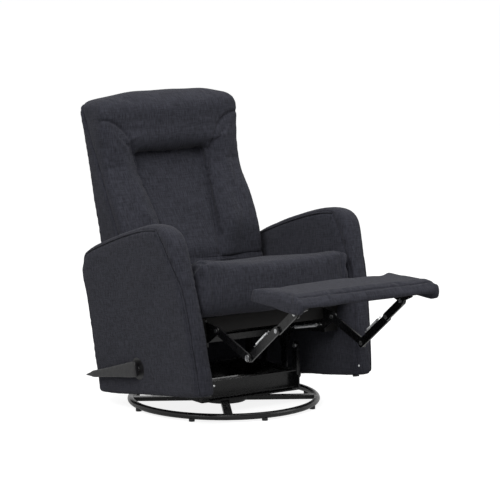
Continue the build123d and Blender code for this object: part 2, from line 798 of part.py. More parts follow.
tight = rivet_diameter
loose = rivet_diameter + 2 * running
for side, name in LEFT_RIGHT:
    drive_link = link_plate(side_plane, side, drive_in, drive_pivot, elbow, tight, tight)
    save(drive_link, f"drive_link_{name}")
    mid_link = link_plate(side_plane, side, mid_in, elbow, knee, loose, loose)
    save(mid_link, f"mid_link_{name}")
    upper_link = link_plate(side_plane, side, upper_in, knee, board_pivot, tight, tight)
    save(upper_link, f"upper_link_{name}")

    with BuildPart() as drive_rivets:
        add(stepped_pin(side_plane, side, [drive_pivot], [
            (drive_in - grip, drive_in, rivet_head),
            (drive_in, plate_half_width + face_gap, rivet_diameter),
            (plate_half_width + face_gap, plate_half_width + face_gap + grip, rivet_head)]))
        add(stepped_pin(side_plane, side, [elbow], [
            (mid_in - face_gap - rivet_washer, mid_in - face_gap, rivet_head),
            (mid_in - face_gap, drive_in + linkage_sheet, rivet_diameter),
            (drive_in + linkage_sheet, drive_in + linkage_sheet + grip, rivet_head)]))
    save(drive_rivets, f"drive_rivets_{name}")

    knee_face = mid_in + linkage_sheet + face_gap
    with BuildPart() as upper_rivets:
        add(stepped_pin(side_plane, side, [knee], [
            (upper_in - grip, upper_in, rivet_head),
            (upper_in, knee_face, rivet_diameter),
            (knee_face, knee_face + rivet_washer, rivet_head)]))
        add(stepped_pin(side_plane, side, [board_pivot], [
            (bracket_layer - face_gap - grip, bracket_layer - face_gap, rivet_head),
            (bracket_layer - face_gap, upper_in + linkage_sheet, rivet_diameter),
            (upper_in + linkage_sheet, upper_in + linkage_sheet + grip, rivet_head)]))
    save(upper_rivets, f"upper_rivets_{name}")

    with BuildPart() as footrest_bracket:
        with BuildSketch(side_plane(side * bracket_layer)):
            with BuildLine():
                Polyline(rest_point(bracket_rear, under), rest_point(bracket_toe, under),
                         rest_point(bracket_toe, under + bracket_rise),
                         rest_point(board_pivot_along + lug_radius, board_pivot_down),
                         rest_point(board_pivot_along - lug_radius, board_pivot_down),
                         rest_point(bracket_rear, under + bracket_rise), close=True)
            make_face()
            with Locations(board_pivot):
                Circle(lug_radius)
                Circle(loose / 2, mode=Mode.SUBTRACT)
        extrude(amount=side * linkage_sheet)
        with BuildSketch(rest_plane(bracket_rear, under)):
            with Locations((side * (bracket_layer - bracket_foot / 2), (bracket_rear - bracket_toe) / 2)):
                Rectangle(bracket_foot, bracket_toe - bracket_rear)
        extrude(amount=-bracket_foot_sheet)
    save(footrest_bracket, f"footrest_bracket_{name}")
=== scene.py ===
"""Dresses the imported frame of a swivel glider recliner: stuffed covers, seams, metal, and a studio.

All sizes are in metres, in the frame's own axes: +Z up, the chair faces -Y, and the sitter's
left hand is at +X. Upholstery is placed in the seat's tipped frame, in which v runs rearward
and w runs upward from the bottom front edge of the arms.
"""
import json
from math import atan2, cos, pi, radians, sin

import bmesh
import bpy
import numpy as np
from bpy.props import FloatProperty, FloatVectorProperty, IntProperty, PointerProperty
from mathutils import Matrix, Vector
from mathutils.bvhtree import BVHTree
from mathutils.kdtree import KDTree


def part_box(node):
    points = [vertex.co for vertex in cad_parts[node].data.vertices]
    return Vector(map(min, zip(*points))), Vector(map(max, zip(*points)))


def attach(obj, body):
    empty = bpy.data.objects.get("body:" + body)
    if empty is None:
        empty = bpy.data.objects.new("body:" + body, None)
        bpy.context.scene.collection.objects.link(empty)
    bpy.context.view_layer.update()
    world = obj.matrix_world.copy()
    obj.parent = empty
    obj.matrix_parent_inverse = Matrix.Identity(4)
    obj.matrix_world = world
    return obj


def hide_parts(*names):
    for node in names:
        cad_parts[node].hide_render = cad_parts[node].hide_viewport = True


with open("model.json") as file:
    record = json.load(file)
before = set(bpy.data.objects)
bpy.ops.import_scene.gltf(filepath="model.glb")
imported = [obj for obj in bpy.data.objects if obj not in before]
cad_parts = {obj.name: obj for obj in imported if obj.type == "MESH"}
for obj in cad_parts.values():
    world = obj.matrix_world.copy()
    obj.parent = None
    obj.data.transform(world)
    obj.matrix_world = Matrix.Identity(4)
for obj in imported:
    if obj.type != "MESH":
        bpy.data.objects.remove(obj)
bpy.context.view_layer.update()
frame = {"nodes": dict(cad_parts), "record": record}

bl_info = {
    "name": "Swivel glider recliner",
    "version": (1, 0, 0),
    "blender": (4, 5, 0),
    "location": "3D View > Sidebar > Recliner",
    "description": "Builds the covers, hardware, finishes and studio of a swivel glider recliner",
    "category": "Add Mesh",
}

# the tipped seat frame: its slope, the place of its corner and the depth of the arms
RAKE = radians(8.0)
FRONT_EDGE_Y = -0.196
ARM_FRONT_Z = 0.124
ARM_REAR = 0.630

# the footrest's slope in that frame, and its rear top edge
REST_DIP = radians(5.8)
REST_REAR_V = -0.228
REST_HIGH = 0.349

# further out than any side of the chair
OUTSIDE = 0.6
# divisions of a seam, and how near to it the cloth is held while the filling swells
SEAM_STEP = 0.004
REAR_SEAM_STEP = 0.005
HELD_NEAR = 0.005
# the longer stitches of the rear
REAR_STITCH = {"pitch": 0.006, "length": 0.0042}
# distance between two folds of the cloth that a seam gathers
GATHER_SIZE = 0.021
# how much each easing round evens the faces, and the frames in which a filling settles
EASING = 0.5
FILLING_FRAMES = 20

SIDES = ((1, "left"), (-1, "right"))


# ------------------------------------------------------------------ places in the tipped frames
def seat_point(x, v, w):
    """A point of the tipped seat frame, in the frame's own axes."""
    y = FRONT_EDGE_Y + v * cos(RAKE) + w * sin(RAKE)
    z = ARM_FRONT_Z - v * sin(RAKE) + w * cos(RAKE)
    return Vector((x, y, z))


def rest_point(x, along, down):
    """A point of the footrest: along runs from its rear edge to the toe, down is its thickness."""
    v = REST_REAR_V - along * cos(REST_DIP) + down * sin(REST_DIP)
    w = REST_HIGH - along * sin(REST_DIP) - down * cos(REST_DIP)
    return seat_point(x, v, w)


REARWARD = Vector((0, cos(RAKE), -sin(RAKE)))
UPWARD = Vector((0, sin(RAKE), cos(RAKE)))


def seat_axes(points):
    """How far points lie to the left, rearward and upward in the tipped seat frame."""
    local = points - np.array(seat_point(0, 0, 0))
    return points[:, 0], local @ np.array(REARWARD), local @ np.array(UPWARD)


def bell(distance, width):
    """1 where the distance is nothing, falling away smoothly over the width."""
    return np.exp(-((distance / width) ** 2))


def ramp(value, start, end):
    """0 up to the start, 1 from the end on, and evenly between."""
    return np.clip((value - start) / (end - start), 0, 1)


# ------------------------------------------------------------------ mesh helpers
def add_object(name, mesh):
    """A new object of the scene that holds this mesh."""
    piece = bpy.data.objects.new(name, mesh)
    bpy.context.scene.collection.objects.link(piece)
    return piece


def node_copy(node, name):
    """A closed copy of a solid, in an object of its own."""
    mesh = frame["nodes"][node].data.copy()
    mesh.materials.clear()
    work = bmesh.new()
    work.from_mesh(mesh)
    bmesh.ops.remove_doubles(work, verts=work.verts, dist=1e-5)
    work.to_mesh(mesh)
    work.free()
    mesh.name = name
    return add_object(name, mesh)


def keep_modifiers(piece):
    """Make what the modifiers show into the piece's own mesh."""
    seen = piece.evaluated_get(bpy.context.evaluated_depsgraph_get())
    mesh = bpy.data.meshes.new_from_object(seen)
    piece.modifiers.clear()
    old = piece.data
    piece.data = mesh
    bpy.data.meshes.remove(old)


def rebuild_skin(piece, cell, rounds):
    """Even small faces all over, with the hard edges eased."""
    remesh = piece.modifiers.new("Even faces", "REMESH")
    remesh.mode = "VOXEL"
    remesh.voxel_size = cell
    ease = piece.modifiers.new("Eased edges", "SMOOTH")
    ease.factor = EASING
    ease.iterations = rounds
    keep_modifiers(piece)


def points_of(piece):
    """The piece's points, one row each."""
    flat = np.empty(len(piece.data.vertices) * 3)
    piece.data.vertices.foreach_get("co", flat)
    return flat.reshape(-1, 3)


def normals_of(piece):
    """The outward direction at each point of the piece."""
    flat = np.empty(len(piece.data.vertices) * 3)
    piece.data.vertex_normals.foreach_get("vector", flat)
    return flat.reshape(-1, 3)


def set_points(piece, points):
    """Give the piece's points these places."""
    piece.data.vertices.foreach_set("co", points.ravel())
    piece.data.update()


def lift(piece, height):
    """Move each of the piece's points outward by its height."""
    set_points(piece, points_of(piece) + normals_of(piece) * height[:, None])


def soft_noise(points, size, seed):
    """Smooth values from -1 to 1 that change over about the given size, the same on each run.

    They are a sum of waves in all directions, the shortest 0.7 and the longest 1.5 of the size.
    """
    waves, shortest, longer, evening = 9, 0.7, 0.8, 1.5
    value = np.zeros(len(points))
    rng = np.random.default_rng(seed)
    for _ in range(waves):
        wave = rng.normal(size=3)
        wave *= 2 * pi / (size * (shortest + longer * rng.random())) / np.linalg.norm(wave)
        value += np.sin(points @ wave + rng.random() * 2 * pi)
    return value / waves ** 0.5 / evening


def spaced(points, step):
    """The run through these points, divided evenly."""
    points = np.array([tuple(p) for p in points], float)
    lengths = np.linalg.norm(np.diff(points, axis=0), axis=1)
    at = np.concatenate(([0], np.cumsum(lengths)))
    wanted = np.linspace(0, at[-1], max(2, int(round(at[-1] / step)) + 1))
    return np.stack([np.interp(wanted, at, points[:, k]) for k in range(3)], axis=1)


def rounded_run(points, step, rounds=3):
    """The run through these points with its corners cut smooth."""
    points = [Vector(p) for p in points]
    for _ in range(rounds):
        cut = [points[0]]
        for a, b in zip(points, points[1:]):
            cut += [a.lerp(b, 0.25), a.lerp(b, 0.75)]
        points = cut + [points[-1]]
    return spaced(points, step)


def side_run(x, places):
    """A rounded seam in one upright plane that faces sideways: each place is v, w."""
    return rounded_run([seat_point(x, v, w) for v, w in places], SEAM_STEP)


def front_run(v, places, step=SEAM_STEP):
    """A rounded seam in one plane that faces forward: each place is x, w."""
    return rounded_run([seat_point(x, v, w) for x, w in places], step)


def skin_tree(piece):
    """A search tree of the piece's surface."""
    work = bmesh.new()
    work.from_mesh(piece.data)
    tree = BVHTree.FromBMesh(work)
    work.free()
    return tree


def cast_line(tree, points, direction):
    """These points moved along a direction from far outside until they meet the surface."""
    direction = Vector(direction).normalized()
    found = []
    for p in points:
        hit = tree.ray_cast(Vector(p) - direction * OUTSIDE, direction)[0]
        if hit is not None:
            found.append(hit)
    return np.array([tuple(p) for p in found])


def nearest_line(tree, points):
    """These points moved to the nearest place on the surface."""
    return np.array([tuple(tree.find_nearest(Vector(p))[0]) for p in points])


def seam_distance(points, lines):
    """How far each point is from the nearest seam, and how far along that seam."""
    apart = 0.013
    tree = KDTree(sum(len(line) for line in lines))
    along = []
    for line in lines:
        start = len(along) * apart
        steps = np.linalg.norm(np.diff(line, axis=0), axis=1)
        for p, s in zip(line, np.concatenate(([0], np.cumsum(steps)))):
            tree.insert(Vector(p), len(along))
            along.append(start + s)
    tree.balance()
    found = [tree.find(Vector(p)) for p in points]
    distance = np.array([f[2] for f in found])
    along = np.array([along[f[1]] for f in found])
    return distance, along


def sew(piece, lines, depth, width, crown=0.0, reach=0.03, pucker=0.0, seed=1):
    """Pull the seams in, crown the cloth between them, and gather it a little beside them."""
    # gathers run out from the seam, vary in strength over the piece, and lie beside the seam
    away_share, along_share, uneven, uneven_size, off, fade = 0.25, 0.3, 0.4, 0.12, 2.2, 2.4
    points = points_of(piece)
    distance, along = seam_distance(points, lines)
    move = -depth * bell(distance, width)
    move += crown * (1 - np.exp(-distance / reach))
    if pucker:
        place = np.stack([along, distance * away_share, along * along_share], axis=1)
        gathers = soft_noise(place, GATHER_SIZE, seed)
        strength = (1 - uneven) + uneven * soft_noise(points, uneven_size, seed + 1)
        move += pucker * gathers * strength * bell(distance - off * width, fade * width)
    lift(piece, move)


def unsettle(piece, height, size, seed):
    """Slow rises and dips, as in a cover that has been sat on."""
    lift(piece, height * soft_noise(points_of(piece), size, seed))


def fill_out(piece, held, pressure, cap):
    """Blow a closed cover up like a filled cushion with some of its points held."""
    rest = points_of(piece).copy()
    group = piece.vertex_groups.new(name="held")
    group.add([int(i) for i in np.flatnonzero(held)], 1.0, "REPLACE")
    cloth = piece.modifiers.new("Filling", "CLOTH")
    cloth.settings.quality = 4
    cloth.settings.use_pressure = True
    cloth.settings.uniform_pressure_force = pressure
    cloth.settings.vertex_group_mass = "held"
    cloth.settings.effector_weights.gravity = 0
    cloth.collision_settings.use_collision = False
    scene = bpy.context.scene
    for number in range(1, FILLING_FRAMES + 1):
        scene.frame_set(number)
    keep_modifiers(piece)
    scene.frame_set(1)
    piece.vertex_groups.clear()
    move = points_of(piece) - rest
    length = np.linalg.norm(move, axis=1, keepdims=True)
    set_points(piece, rest + move * np.minimum(1, cap / np.maximum(length, 1e-9)))


def hold_width(piece, low, high):
    """Keep the piece between two upright planes that face along X."""
    points = points_of(piece)
    points[:, 0] = np.clip(points[:, 0], low, high)
    set_points(piece, points)


def subdivide(piece, levels=1):
    """Finer faces on the same smooth form."""
    finer = piece.modifiers.new("Finer", "SUBSURF")
    finer.levels = finer.render_levels = levels
    keep_modifiers(piece)


def shade_smooth(piece):
    """Smooth shading all over."""
    piece.data.polygons.foreach_set("use_smooth", [True] * len(piece.data.polygons))
    piece.data.update()


def frames_along(line):
    """A steady pair of cross directions at each point of a run."""
    ahead = np.gradient(line, axis=0)
    ahead /= np.linalg.norm(ahead, axis=1, keepdims=True)
    side = Vector(ahead[0]).orthogonal().normalized()
    pairs = []
    for a in ahead:
        a = Vector(a)
        side = (side - a * side.dot(a)).normalized()
        pairs.append((side.copy(), a.cross(side)))
    return pairs


def join_rings(work, rings):
    """Close a run of equal rings of points with faces, and both of its ends."""
    corners = len(rings[0])
    for lower, upper in zip(rings, rings[1:]):
        for k in range(corners):
            n = (k + 1) % corners
            work.faces.new((lower[k], lower[n], upper[n], upper[k]))
    work.faces.new(rings[0][::-1])
    work.faces.new(rings[-1])


def round_turn(corners):
    """The angles of evenly spaced corners on a circle."""
    return [2 * pi * k / corners for k in range(corners)]


def tube(work, line, radius, corners=8, taper=0.0):
    """Add a round tube along a run to a mesh being made."""
    rings = []
    count = len(line)
    for number, (p, (side, across)) in enumerate(zip(line, frames_along(line))):
        at_end = number in (0, count - 1)
        r = radius * (1 - taper * at_end)
        ring = [Vector(p) + side * r * cos(a) + across * r * sin(a) for a in round_turn(corners)]
        rings.append([work.verts.new(q) for q in ring])
    join_rings(work, rings)


def made(work, name):
    """Finish a mesh being made as an object with smooth shading."""
    bmesh.ops.recalc_face_normals(work, faces=work.faces)
    mesh = bpy.data.meshes.new(name)
    work.to_mesh(mesh)
    work.free()
    piece = add_object(name, mesh)
    shade_smooth(piece)
    return piece


def welt(name, lines, radius, step=0.006):
    """Covered piping that stands along seams."""
    work = bmesh.new()
    for line in lines:
        tube(work, spaced(line, step), radius, taper=0.5)
    return made(work, name)


def stitch_row(name, lines, pitch=0.0055, length=0.0038, radius=0.0006):
    """Rows of separate thread stitches along seams."""
    work = bmesh.new()
    for line in lines:
        line = spaced(line, pitch)
        for a, b in zip(line, line[1:]):
            share = length / max(np.linalg.norm(b - a), 1e-9)
            tube(work, np.linspace(a, a + (b - a) * share, 4), radius, corners=5, taper=0.6)
    return made(work, name)


def dress(piece, body, material):
    """Give a piece its body and its finish."""
    piece.data.materials.clear()
    piece.data.materials.append(material)
    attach(piece, body)


# ------------------------------------------------------------------ node helpers
class Tree:
    """Short ways to add and join nodes of one tree."""

    def __init__(self, tree):
        self.tree = tree

    def node(self, kind, values=None, **options):
        """Add a node, set its options, and set or join its inputs."""
        node = self.tree.nodes.new(kind)
        for name, value in options.items():
            setattr(node, name, value)
        for name, value in (values or {}).items():
            self.give(node.inputs[name], value)
        return node

    def give(self, socket, value):
        """Join a socket to another, or set its value."""
        if isinstance(value, bpy.types.NodeSocket):
            self.tree.links.new(value, socket)
        else:
            socket.default_value = value

    def give_all(self, sockets, values):
        """Join or set sockets in order."""
        for socket, value in zip(sockets, values):
            self.give(socket, value)

    def math(self, operation, *values):
        """The result of a sum."""
        node = self.node("ShaderNodeMath", operation=operation)
        self.give_all(node.inputs, values)
        return node.outputs[0]

    def vector_math(self, operation, *values, output=0):
        """The result of a sum of vectors."""
        node = self.node("ShaderNodeVectorMath", operation=operation)
        self.give_all(node.inputs, values)
        return node.outputs[output]

    def mix(self, share, a, b):
        """A number part of the way from a to b."""
        node = self.node("ShaderNodeMix", data_type="FLOAT")
        self.give_all((node.inputs[0], node.inputs[2], node.inputs[3]), (share, a, b))
        return node.outputs[0]

    def blend(self, share, a, b):
        """A colour part of the way from a to b."""
        node = self.node("ShaderNodeMix", data_type="RGBA")
        self.give_all((node.inputs[0], node.inputs[6], node.inputs[7]), (share, a, b))
        return node.outputs[2]

    def place(self):
        """The place in the piece's own axes."""
        return self.node("ShaderNodeTexCoord").outputs["Object"]

    def map(self, kind, place, **values):
        """A place or direction after a mapping."""
        values = {name.capitalize(): value for name, value in values.items()}
        return self.node("ShaderNodeMapping", {"Vector": place, **values}, vector_type=kind).outputs[0]

    def seen(self, glossy):
        """1 for what the camera sees, also through glass, and a share for what gloss shows."""
        path = self.node("ShaderNodeLightPath").outputs
        shown = self.math("MULTIPLY", path["Is Glossy Ray"], glossy)
        shown = self.math("MAXIMUM", path["Is Camera Ray"], shown)
        return self.math("MAXIMUM", shown, path["Is Transmission Ray"])

    def noise(self, place, scale, detail=2.0, roughness=0.5):
        """A noise value at a place."""
        node = self.node("ShaderNodeTexNoise", {
            "Vector": place, "Scale": scale, "Detail": detail, "Roughness": roughness})
        return node.outputs["Fac"]

    def spread(self, value, low, high, to_low=0.0, to_high=1.0):
        """A value moved from one range to another and held there."""
        node = self.node("ShaderNodeMapRange", {
            "Value": value, "From Min": low, "From Max": high, "To Min": to_low, "To Max": to_high})
        return node.outputs["Result"]

    def group(self, group, **values):
        """Place a shared group, with its inputs named with _ for spaces."""
        node = self.node("ShaderNodeGroup", node_tree=group)
        for name, value in values.items():
            self.give(node.inputs[name.replace("_", " ")], value)
        return node


def new_group(name, inputs, outputs):
    """A shared group with named sockets: its tree helper, its input node and its output node."""
    group = bpy.data.node_groups.new(name, "ShaderNodeTree")
    for way, sockets in (("INPUT", inputs), ("OUTPUT", outputs)):
        for label, value in sockets.items():
            kind = "NodeSocketColor" if isinstance(value, tuple) else "NodeSocketFloat"
            socket = group.interface.new_socket(label, in_out=way, socket_type=kind)
            if way == "INPUT":
                socket.default_value = value
    tree = Tree(group)
    return group, tree, tree.node("NodeGroupInput"), tree.node("NodeGroupOutput")


def new_material(name):
    """A material: itself, its tree helper and its shader."""
    material = bpy.data.materials.new(name)
    material.use_nodes = True
    tree = Tree(material.node_tree)
    shader = material.node_tree.nodes["Principled BSDF"]
    return material, tree, shader


def raw(colour):
    """A property's colour with full cover."""
    return (colour[0], colour[1], colour[2], 1.0)


# ------------------------------------------------------------------ shared effects
def plane_weave_group():
    """Linen threads on one flat plane."""
    group, t, given, out = new_group(
        "Threads on a plane",
        {"Across": 0.0, "Along": 0.0, "Pitch": 0.0015, "Slub length": 0.03},
        {"Height": 0.0, "Shade": 0.0})
    put = given.outputs
    across = t.math("DIVIDE", put["Across"], put["Pitch"])
    along = t.math("DIVIDE", put["Along"], put["Pitch"])
    warp_number, weft_number = t.math("FLOOR", across), t.math("FLOOR", along)
    over = t.math("PINGPONG", t.math("ADD", warp_number, weft_number), 1.0)
    warp = t.math("ABSOLUTE", t.math("SINE", t.math("MULTIPLY", across, pi)))
    weft = t.math("ABSOLUTE", t.math("SINE", t.math("MULTIPLY", along, pi)))
    warp_top = t.math("MULTIPLY", warp, t.math("ADD", 0.55, t.math("MULTIPLY", weft, 0.45)))
    weft_top = t.math("MULTIPLY", weft, t.math("ADD", 0.55, t.math("MULTIPLY", warp, 0.45)))
    t.give(out.inputs["Height"], t.mix(over, warp_top, weft_top))
    slub_warp = t.node("ShaderNodeCombineXYZ", {
        "X": t.math("MULTIPLY", warp_number, 0.41),
        "Y": t.math("DIVIDE", put["Along"], put["Slub length"])})
    slub_weft = t.node("ShaderNodeCombineXYZ", {
        "X": t.math("DIVIDE", put["Across"], put["Slub length"]),
        "Y": t.math("MULTIPLY", weft_number, 0.41), "Z": 7.3})
    warp_shade = t.noise(slub_warp.outputs[0], 1.0, 1.0)
    weft_shade = t.mix(0.45, t.noise(slub_weft.outputs[0], 1.0, 1.0), 0.5)
    t.give(out.inputs["Shade"], t.mix(over, warp_shade, weft_shade))
    return group


def linen_group():
    """Linen cloth on any surface: the plane that faces it most gives the threads."""
    plane = plane_weave_group()
    group, t, given, out = new_group(
        "Linen cloth",
        {"Pitch": 0.0015, "Slub length": 0.03, "Contrast": 1.0, "Fading": 0.1},
        {"Height": 0.0, "Shade": 0.0})
    place = t.node("ShaderNodeTexCoord").outputs
    turned = t.map("POINT", place["Object"], rotation=(RAKE, 0.0, 0.0))
    facing = t.map("NORMAL", place["Normal"], rotation=(RAKE, 0.0, 0.0))
    weights = t.vector_math("MULTIPLY", facing, facing)
    weights = t.vector_math("MULTIPLY", weights, weights)
    weights = t.node("ShaderNodeSeparateXYZ", {"Vector": weights}).outputs
    total = t.math("ADD", t.math("ADD", weights[0], weights[1]), weights[2])
    xyz = t.node("ShaderNodeSeparateXYZ", {"Vector": turned}).outputs
    height = shade = 0.0
    for weight, across, along in ((weights[0], xyz[1], xyz[2]), (weights[1], xyz[0], xyz[2]),
                                  (weights[2], xyz[0], xyz[1])):
        share = t.math("DIVIDE", weight, total)
        threads = t.group(plane, Across=across, Along=along, Pitch=given.outputs["Pitch"],
                          Slub_length=given.outputs["Slub length"])
        height = t.math("MULTIPLY_ADD", threads.outputs["Height"], share, height)
        shade = t.math("MULTIPLY_ADD", threads.outputs["Shade"], share, shade)
    spreading = t.math("MULTIPLY", t.math("SUBTRACT", shade, 0.5), given.outputs["Contrast"])
    shade = t.math("ADD", 0.5, spreading)
    faded = t.math("SUBTRACT", t.noise(turned, 7.0, 3.0), 0.5)
    shade = t.math("MULTIPLY_ADD", faded, given.outputs["Fading"], shade)
    t.give(out.inputs["Shade"], t.math("MINIMUM", t.math("MAXIMUM", shade, 0.0), 1.0))
    t.give(out.inputs["Height"], height)
    return group


def dust_group():
    """Dust that lies on what faces up, broken by noise."""
    group, t, given, out = new_group("Settled dust", {"Amount": 0.3, "Size": 40.0}, {"Mask": 0.0})
    place = t.node("ShaderNodeTexCoord")
    up = t.node("ShaderNodeSeparateXYZ", {"Vector": place.outputs["Normal"]}).outputs[2]
    broken = t.spread(t.noise(place.outputs["Object"], given.outputs["Size"], 4.0, 0.65), 0.35, 0.75)
    lying = t.math("MULTIPLY", t.spread(up, 0.2, 0.9), broken)
    t.give(out.inputs["Mask"], t.math("MULTIPLY", lying, given.outputs["Amount"]))
    return group


def edge_wear_group():
    """Rubbed corners: where a rounded normal leaves the true one."""
    group, t, given, out = new_group("Rubbed edges", {"Width": 0.002, "Amount": 0.6}, {"Mask": 0.0})
    rounded = t.node("ShaderNodeBevel", {"Radius": given.outputs["Width"]}, samples=4)
    true = t.node("ShaderNodeNewGeometry").outputs["Normal"]
    same = t.vector_math("DOT_PRODUCT", rounded.outputs[0], true, output=1)
    edge = t.spread(same, 0.995, 0.86)
    broken = t.spread(t.noise(t.place(), 160.0, 3.0, 0.6), 0.42, 0.62)
    rubbed = t.math("MULTIPLY", edge, broken)
    t.give(out.inputs["Mask"], t.math("MULTIPLY", rubbed, given.outputs["Amount"]))
    return group


def aged(t, colour, dust, wear, dusty, bare):
    """A colour under settled dust, and bare where its edges are rubbed; and where the dust lies.

    dust is a shared group with its amount and size, wear one with its width and amount.
    """
    lying = t.group(dust[0], Amount=dust[1], Size=dust[2]).outputs["Mask"]
    rubbed = t.group(wear[0], Width=wear[1], Amount=wear[2]).outputs["Mask"]
    return t.blend(rubbed, t.blend(lying, colour, raw(dusty)), raw(bare)), lying


def surface(t, shader, values, height, strength, distance):
    """Set or join a shader's inputs and give it its bump."""
    bump = t.node("ShaderNodeBump", {"Height": height, "Strength": strength, "Distance": distance})
    for name, value in {**values, "Normal": bump.outputs[0]}.items():
        t.give(shader.inputs[name], value)


def make_fabric(name, settings, linen, lightness):
    """Heathered linen-like cloth."""
    darkest, lightest = 0.52, 1.6
    material, t, shader = new_material(name)
    cloth = t.group(linen, Pitch=settings.thread_pitch, Slub_length=0.028, Contrast=2.9, Fading=0.16)
    dark = [c * darkest * lightness for c in settings.cloth_colour]
    light = [c * lightest * lightness for c in settings.cloth_colour]
    fuzz = t.noise(t.place(), 900.0, 2.0)
    height = t.math("MULTIPLY_ADD", fuzz, 0.35, cloth.outputs["Height"])
    surface(t, shader, {
        "Base Color": t.blend(cloth.outputs["Shade"], raw(dark), raw(light)), "Roughness": 0.92,
        "Specular IOR Level": 0.15, "Sheen Weight": 0.05, "Sheen Roughness": 0.45}, height, 0.55, 0.0006)
    return material


def make_black_steel(settings, dust, wear):
    """Glossy black enamel on steel, rubbed at its edges."""
    material, t, shader = new_material("Black enamelled steel")
    place = t.place()
    colour, lying = aged(t, raw(settings.enamel_colour), (dust, 0.2, 30.0), (wear, 0.0015, 0.35),
                         (0.03, 0.029, 0.028), (0.07, 0.07, 0.075))
    patchy = t.spread(t.noise(place, 55.0, 3.0), 0.3, 0.7, 0.2, 0.34)
    surface(t, shader, {
        "Base Color": colour, "Roughness": t.math("MULTIPLY_ADD", lying, 0.5, patchy),
        "Specular IOR Level": 0.35, "Coat Weight": 0.12, "Coat Roughness": 0.12},
        t.noise(place, 420.0, 2.0), 0.12, 0.0003)
    return material


def make_zinc(settings, dust, wear):
    """Bright zinc plate with a faint cloudy bloom."""
    material, t, shader = new_material("Zinc plated steel")
    cloudy = t.noise(t.place(), 180.0, 4.0, 0.6)
    lying = t.group(dust, Amount=0.4, Size=60.0).outputs["Mask"]
    rubbed = t.group(wear, Width=0.001, Amount=0.5).outputs["Mask"]
    dim = raw([c * 0.72 for c in settings.zinc_colour])
    colour = t.blend(t.spread(cloudy, 0.35, 0.65), dim, raw(settings.zinc_colour))
    colour = t.blend(rubbed, colour, (0.8, 0.8, 0.8, 1.0))
    surface(t, shader, {
        "Base Color": t.blend(lying, colour, (0.3, 0.29, 0.27, 1.0)), "Metallic": 1.0,
        "Roughness": t.spread(cloudy, 0.3, 0.7, 0.24, 0.42)}, cloudy, 0.15, 0.0002)
    return material


def make_wood(settings, dust, wear):
    """Sawn hardwood and ply with a dark stain."""
    material, t, shader = new_material("Stained wood")
    place = t.place()
    grain = t.noise(t.map("POINT", place, scale=(3.0, 3.0, 60.0)), 3.0, 6.0, 0.65)
    fine = t.noise(t.map("POINT", place, scale=(8.0, 8.0, 500.0)), 4.0, 3.0)
    streak = t.math("MULTIPLY_ADD", fine, 0.3, grain)
    dark = raw([c * 0.55 for c in settings.wood_colour])
    stained = t.blend(t.spread(streak, 0.45, 0.85), dark, raw(settings.wood_colour))
    colour, _ = aged(t, stained, (dust, 0.16, 50.0), (wear, 0.002, 0.3),
                     (0.03, 0.028, 0.026), (0.05, 0.04, 0.03))
    surface(t, shader, {
        "Base Color": colour, "Roughness": t.spread(streak, 0.4, 0.9, 0.6, 0.8),
        "Specular IOR Level": 0.25}, streak, 0.3, 0.0006)
    return material


def make_plastic(settings, dust, wear):
    """Moulded black plastic with a fine grain."""
    material, t, shader = new_material("Moulded black plastic")
    place = t.place()
    pores = t.node("ShaderNodeTexVoronoi", {"Vector": place, "Scale": 1100.0}).outputs["Distance"]
    colour, _ = aged(t, raw(settings.plastic_colour), (dust, 0.15, 60.0), (wear, 0.0015, 0.4),
                     (0.04, 0.039, 0.038), (0.08, 0.08, 0.082))
    rough = t.spread(t.noise(place, 70.0, 3.0), 0.3, 0.7, 0.38, 0.52)
    surface(t, shader, {"Base Color": colour, "Roughness": rough}, pores, 0.2, 0.0003)
    return material


# ------------------------------------------------------------------ settings
class ReclinerCover(bpy.types.PropertyGroup):
    """Sizes and colours of the upholstery."""

    cloth_colour: FloatVectorProperty(
        name="Cloth colour", description="Middle colour of the cloth",
        default=(0.0310, 0.0316, 0.0408), subtype="COLOR", min=0, max=1)
    thread_pitch: FloatProperty(
        name="Thread pitch", description="Distance between two threads of the weave",
        default=0.0015, unit="LENGTH", min=0.0003, max=0.01)
    welt_radius: FloatProperty(
        name="Welt radius", description="Radius of the piping along the main seams",
        default=0.0028, unit="LENGTH", min=0.001, max=0.008)
    seam_depth: FloatProperty(
        name="Seam depth", description="How far a seam is pulled into the filling",
        default=0.0055, unit="LENGTH", min=0, max=0.02)
    filling_pressure: FloatProperty(
        name="Filling pressure", description="How hard the cushions are filled",
        default=4.0, min=0, max=12)
    filling_cap: FloatProperty(
        name="Most swell", description="The furthest that the filling moves the cover",
        default=0.024, unit="LENGTH", min=0, max=0.05)


class ReclinerMetal(bpy.types.PropertyGroup):
    """Colours of the frame, mechanism and hardware."""

    enamel_colour: FloatVectorProperty(
        name="Enamel colour", description="Colour of the black enamelled steel",
        default=(0.004, 0.004, 0.0045), subtype="COLOR", min=0, max=1)
    zinc_colour: FloatVectorProperty(
        name="Zinc colour", description="Colour of the bolts, rivets and springs",
        default=(0.62, 0.63, 0.64), subtype="COLOR", min=0, max=1)
    wood_colour: FloatVectorProperty(
        name="Wood colour", description="Colour of the stained wooden rails",
        default=(0.0075, 0.0068, 0.0065), subtype="COLOR", min=0, max=1)
    plastic_colour: FloatVectorProperty(
        name="Plastic colour", description="Colour of the lever and the feet",
        default=(0.005, 0.005, 0.006), subtype="COLOR", min=0, max=1)
    spring_turns: IntProperty(
        name="Spring turns", description="Turns of each coil of the pull springs",
        default=16, min=4, max=40)


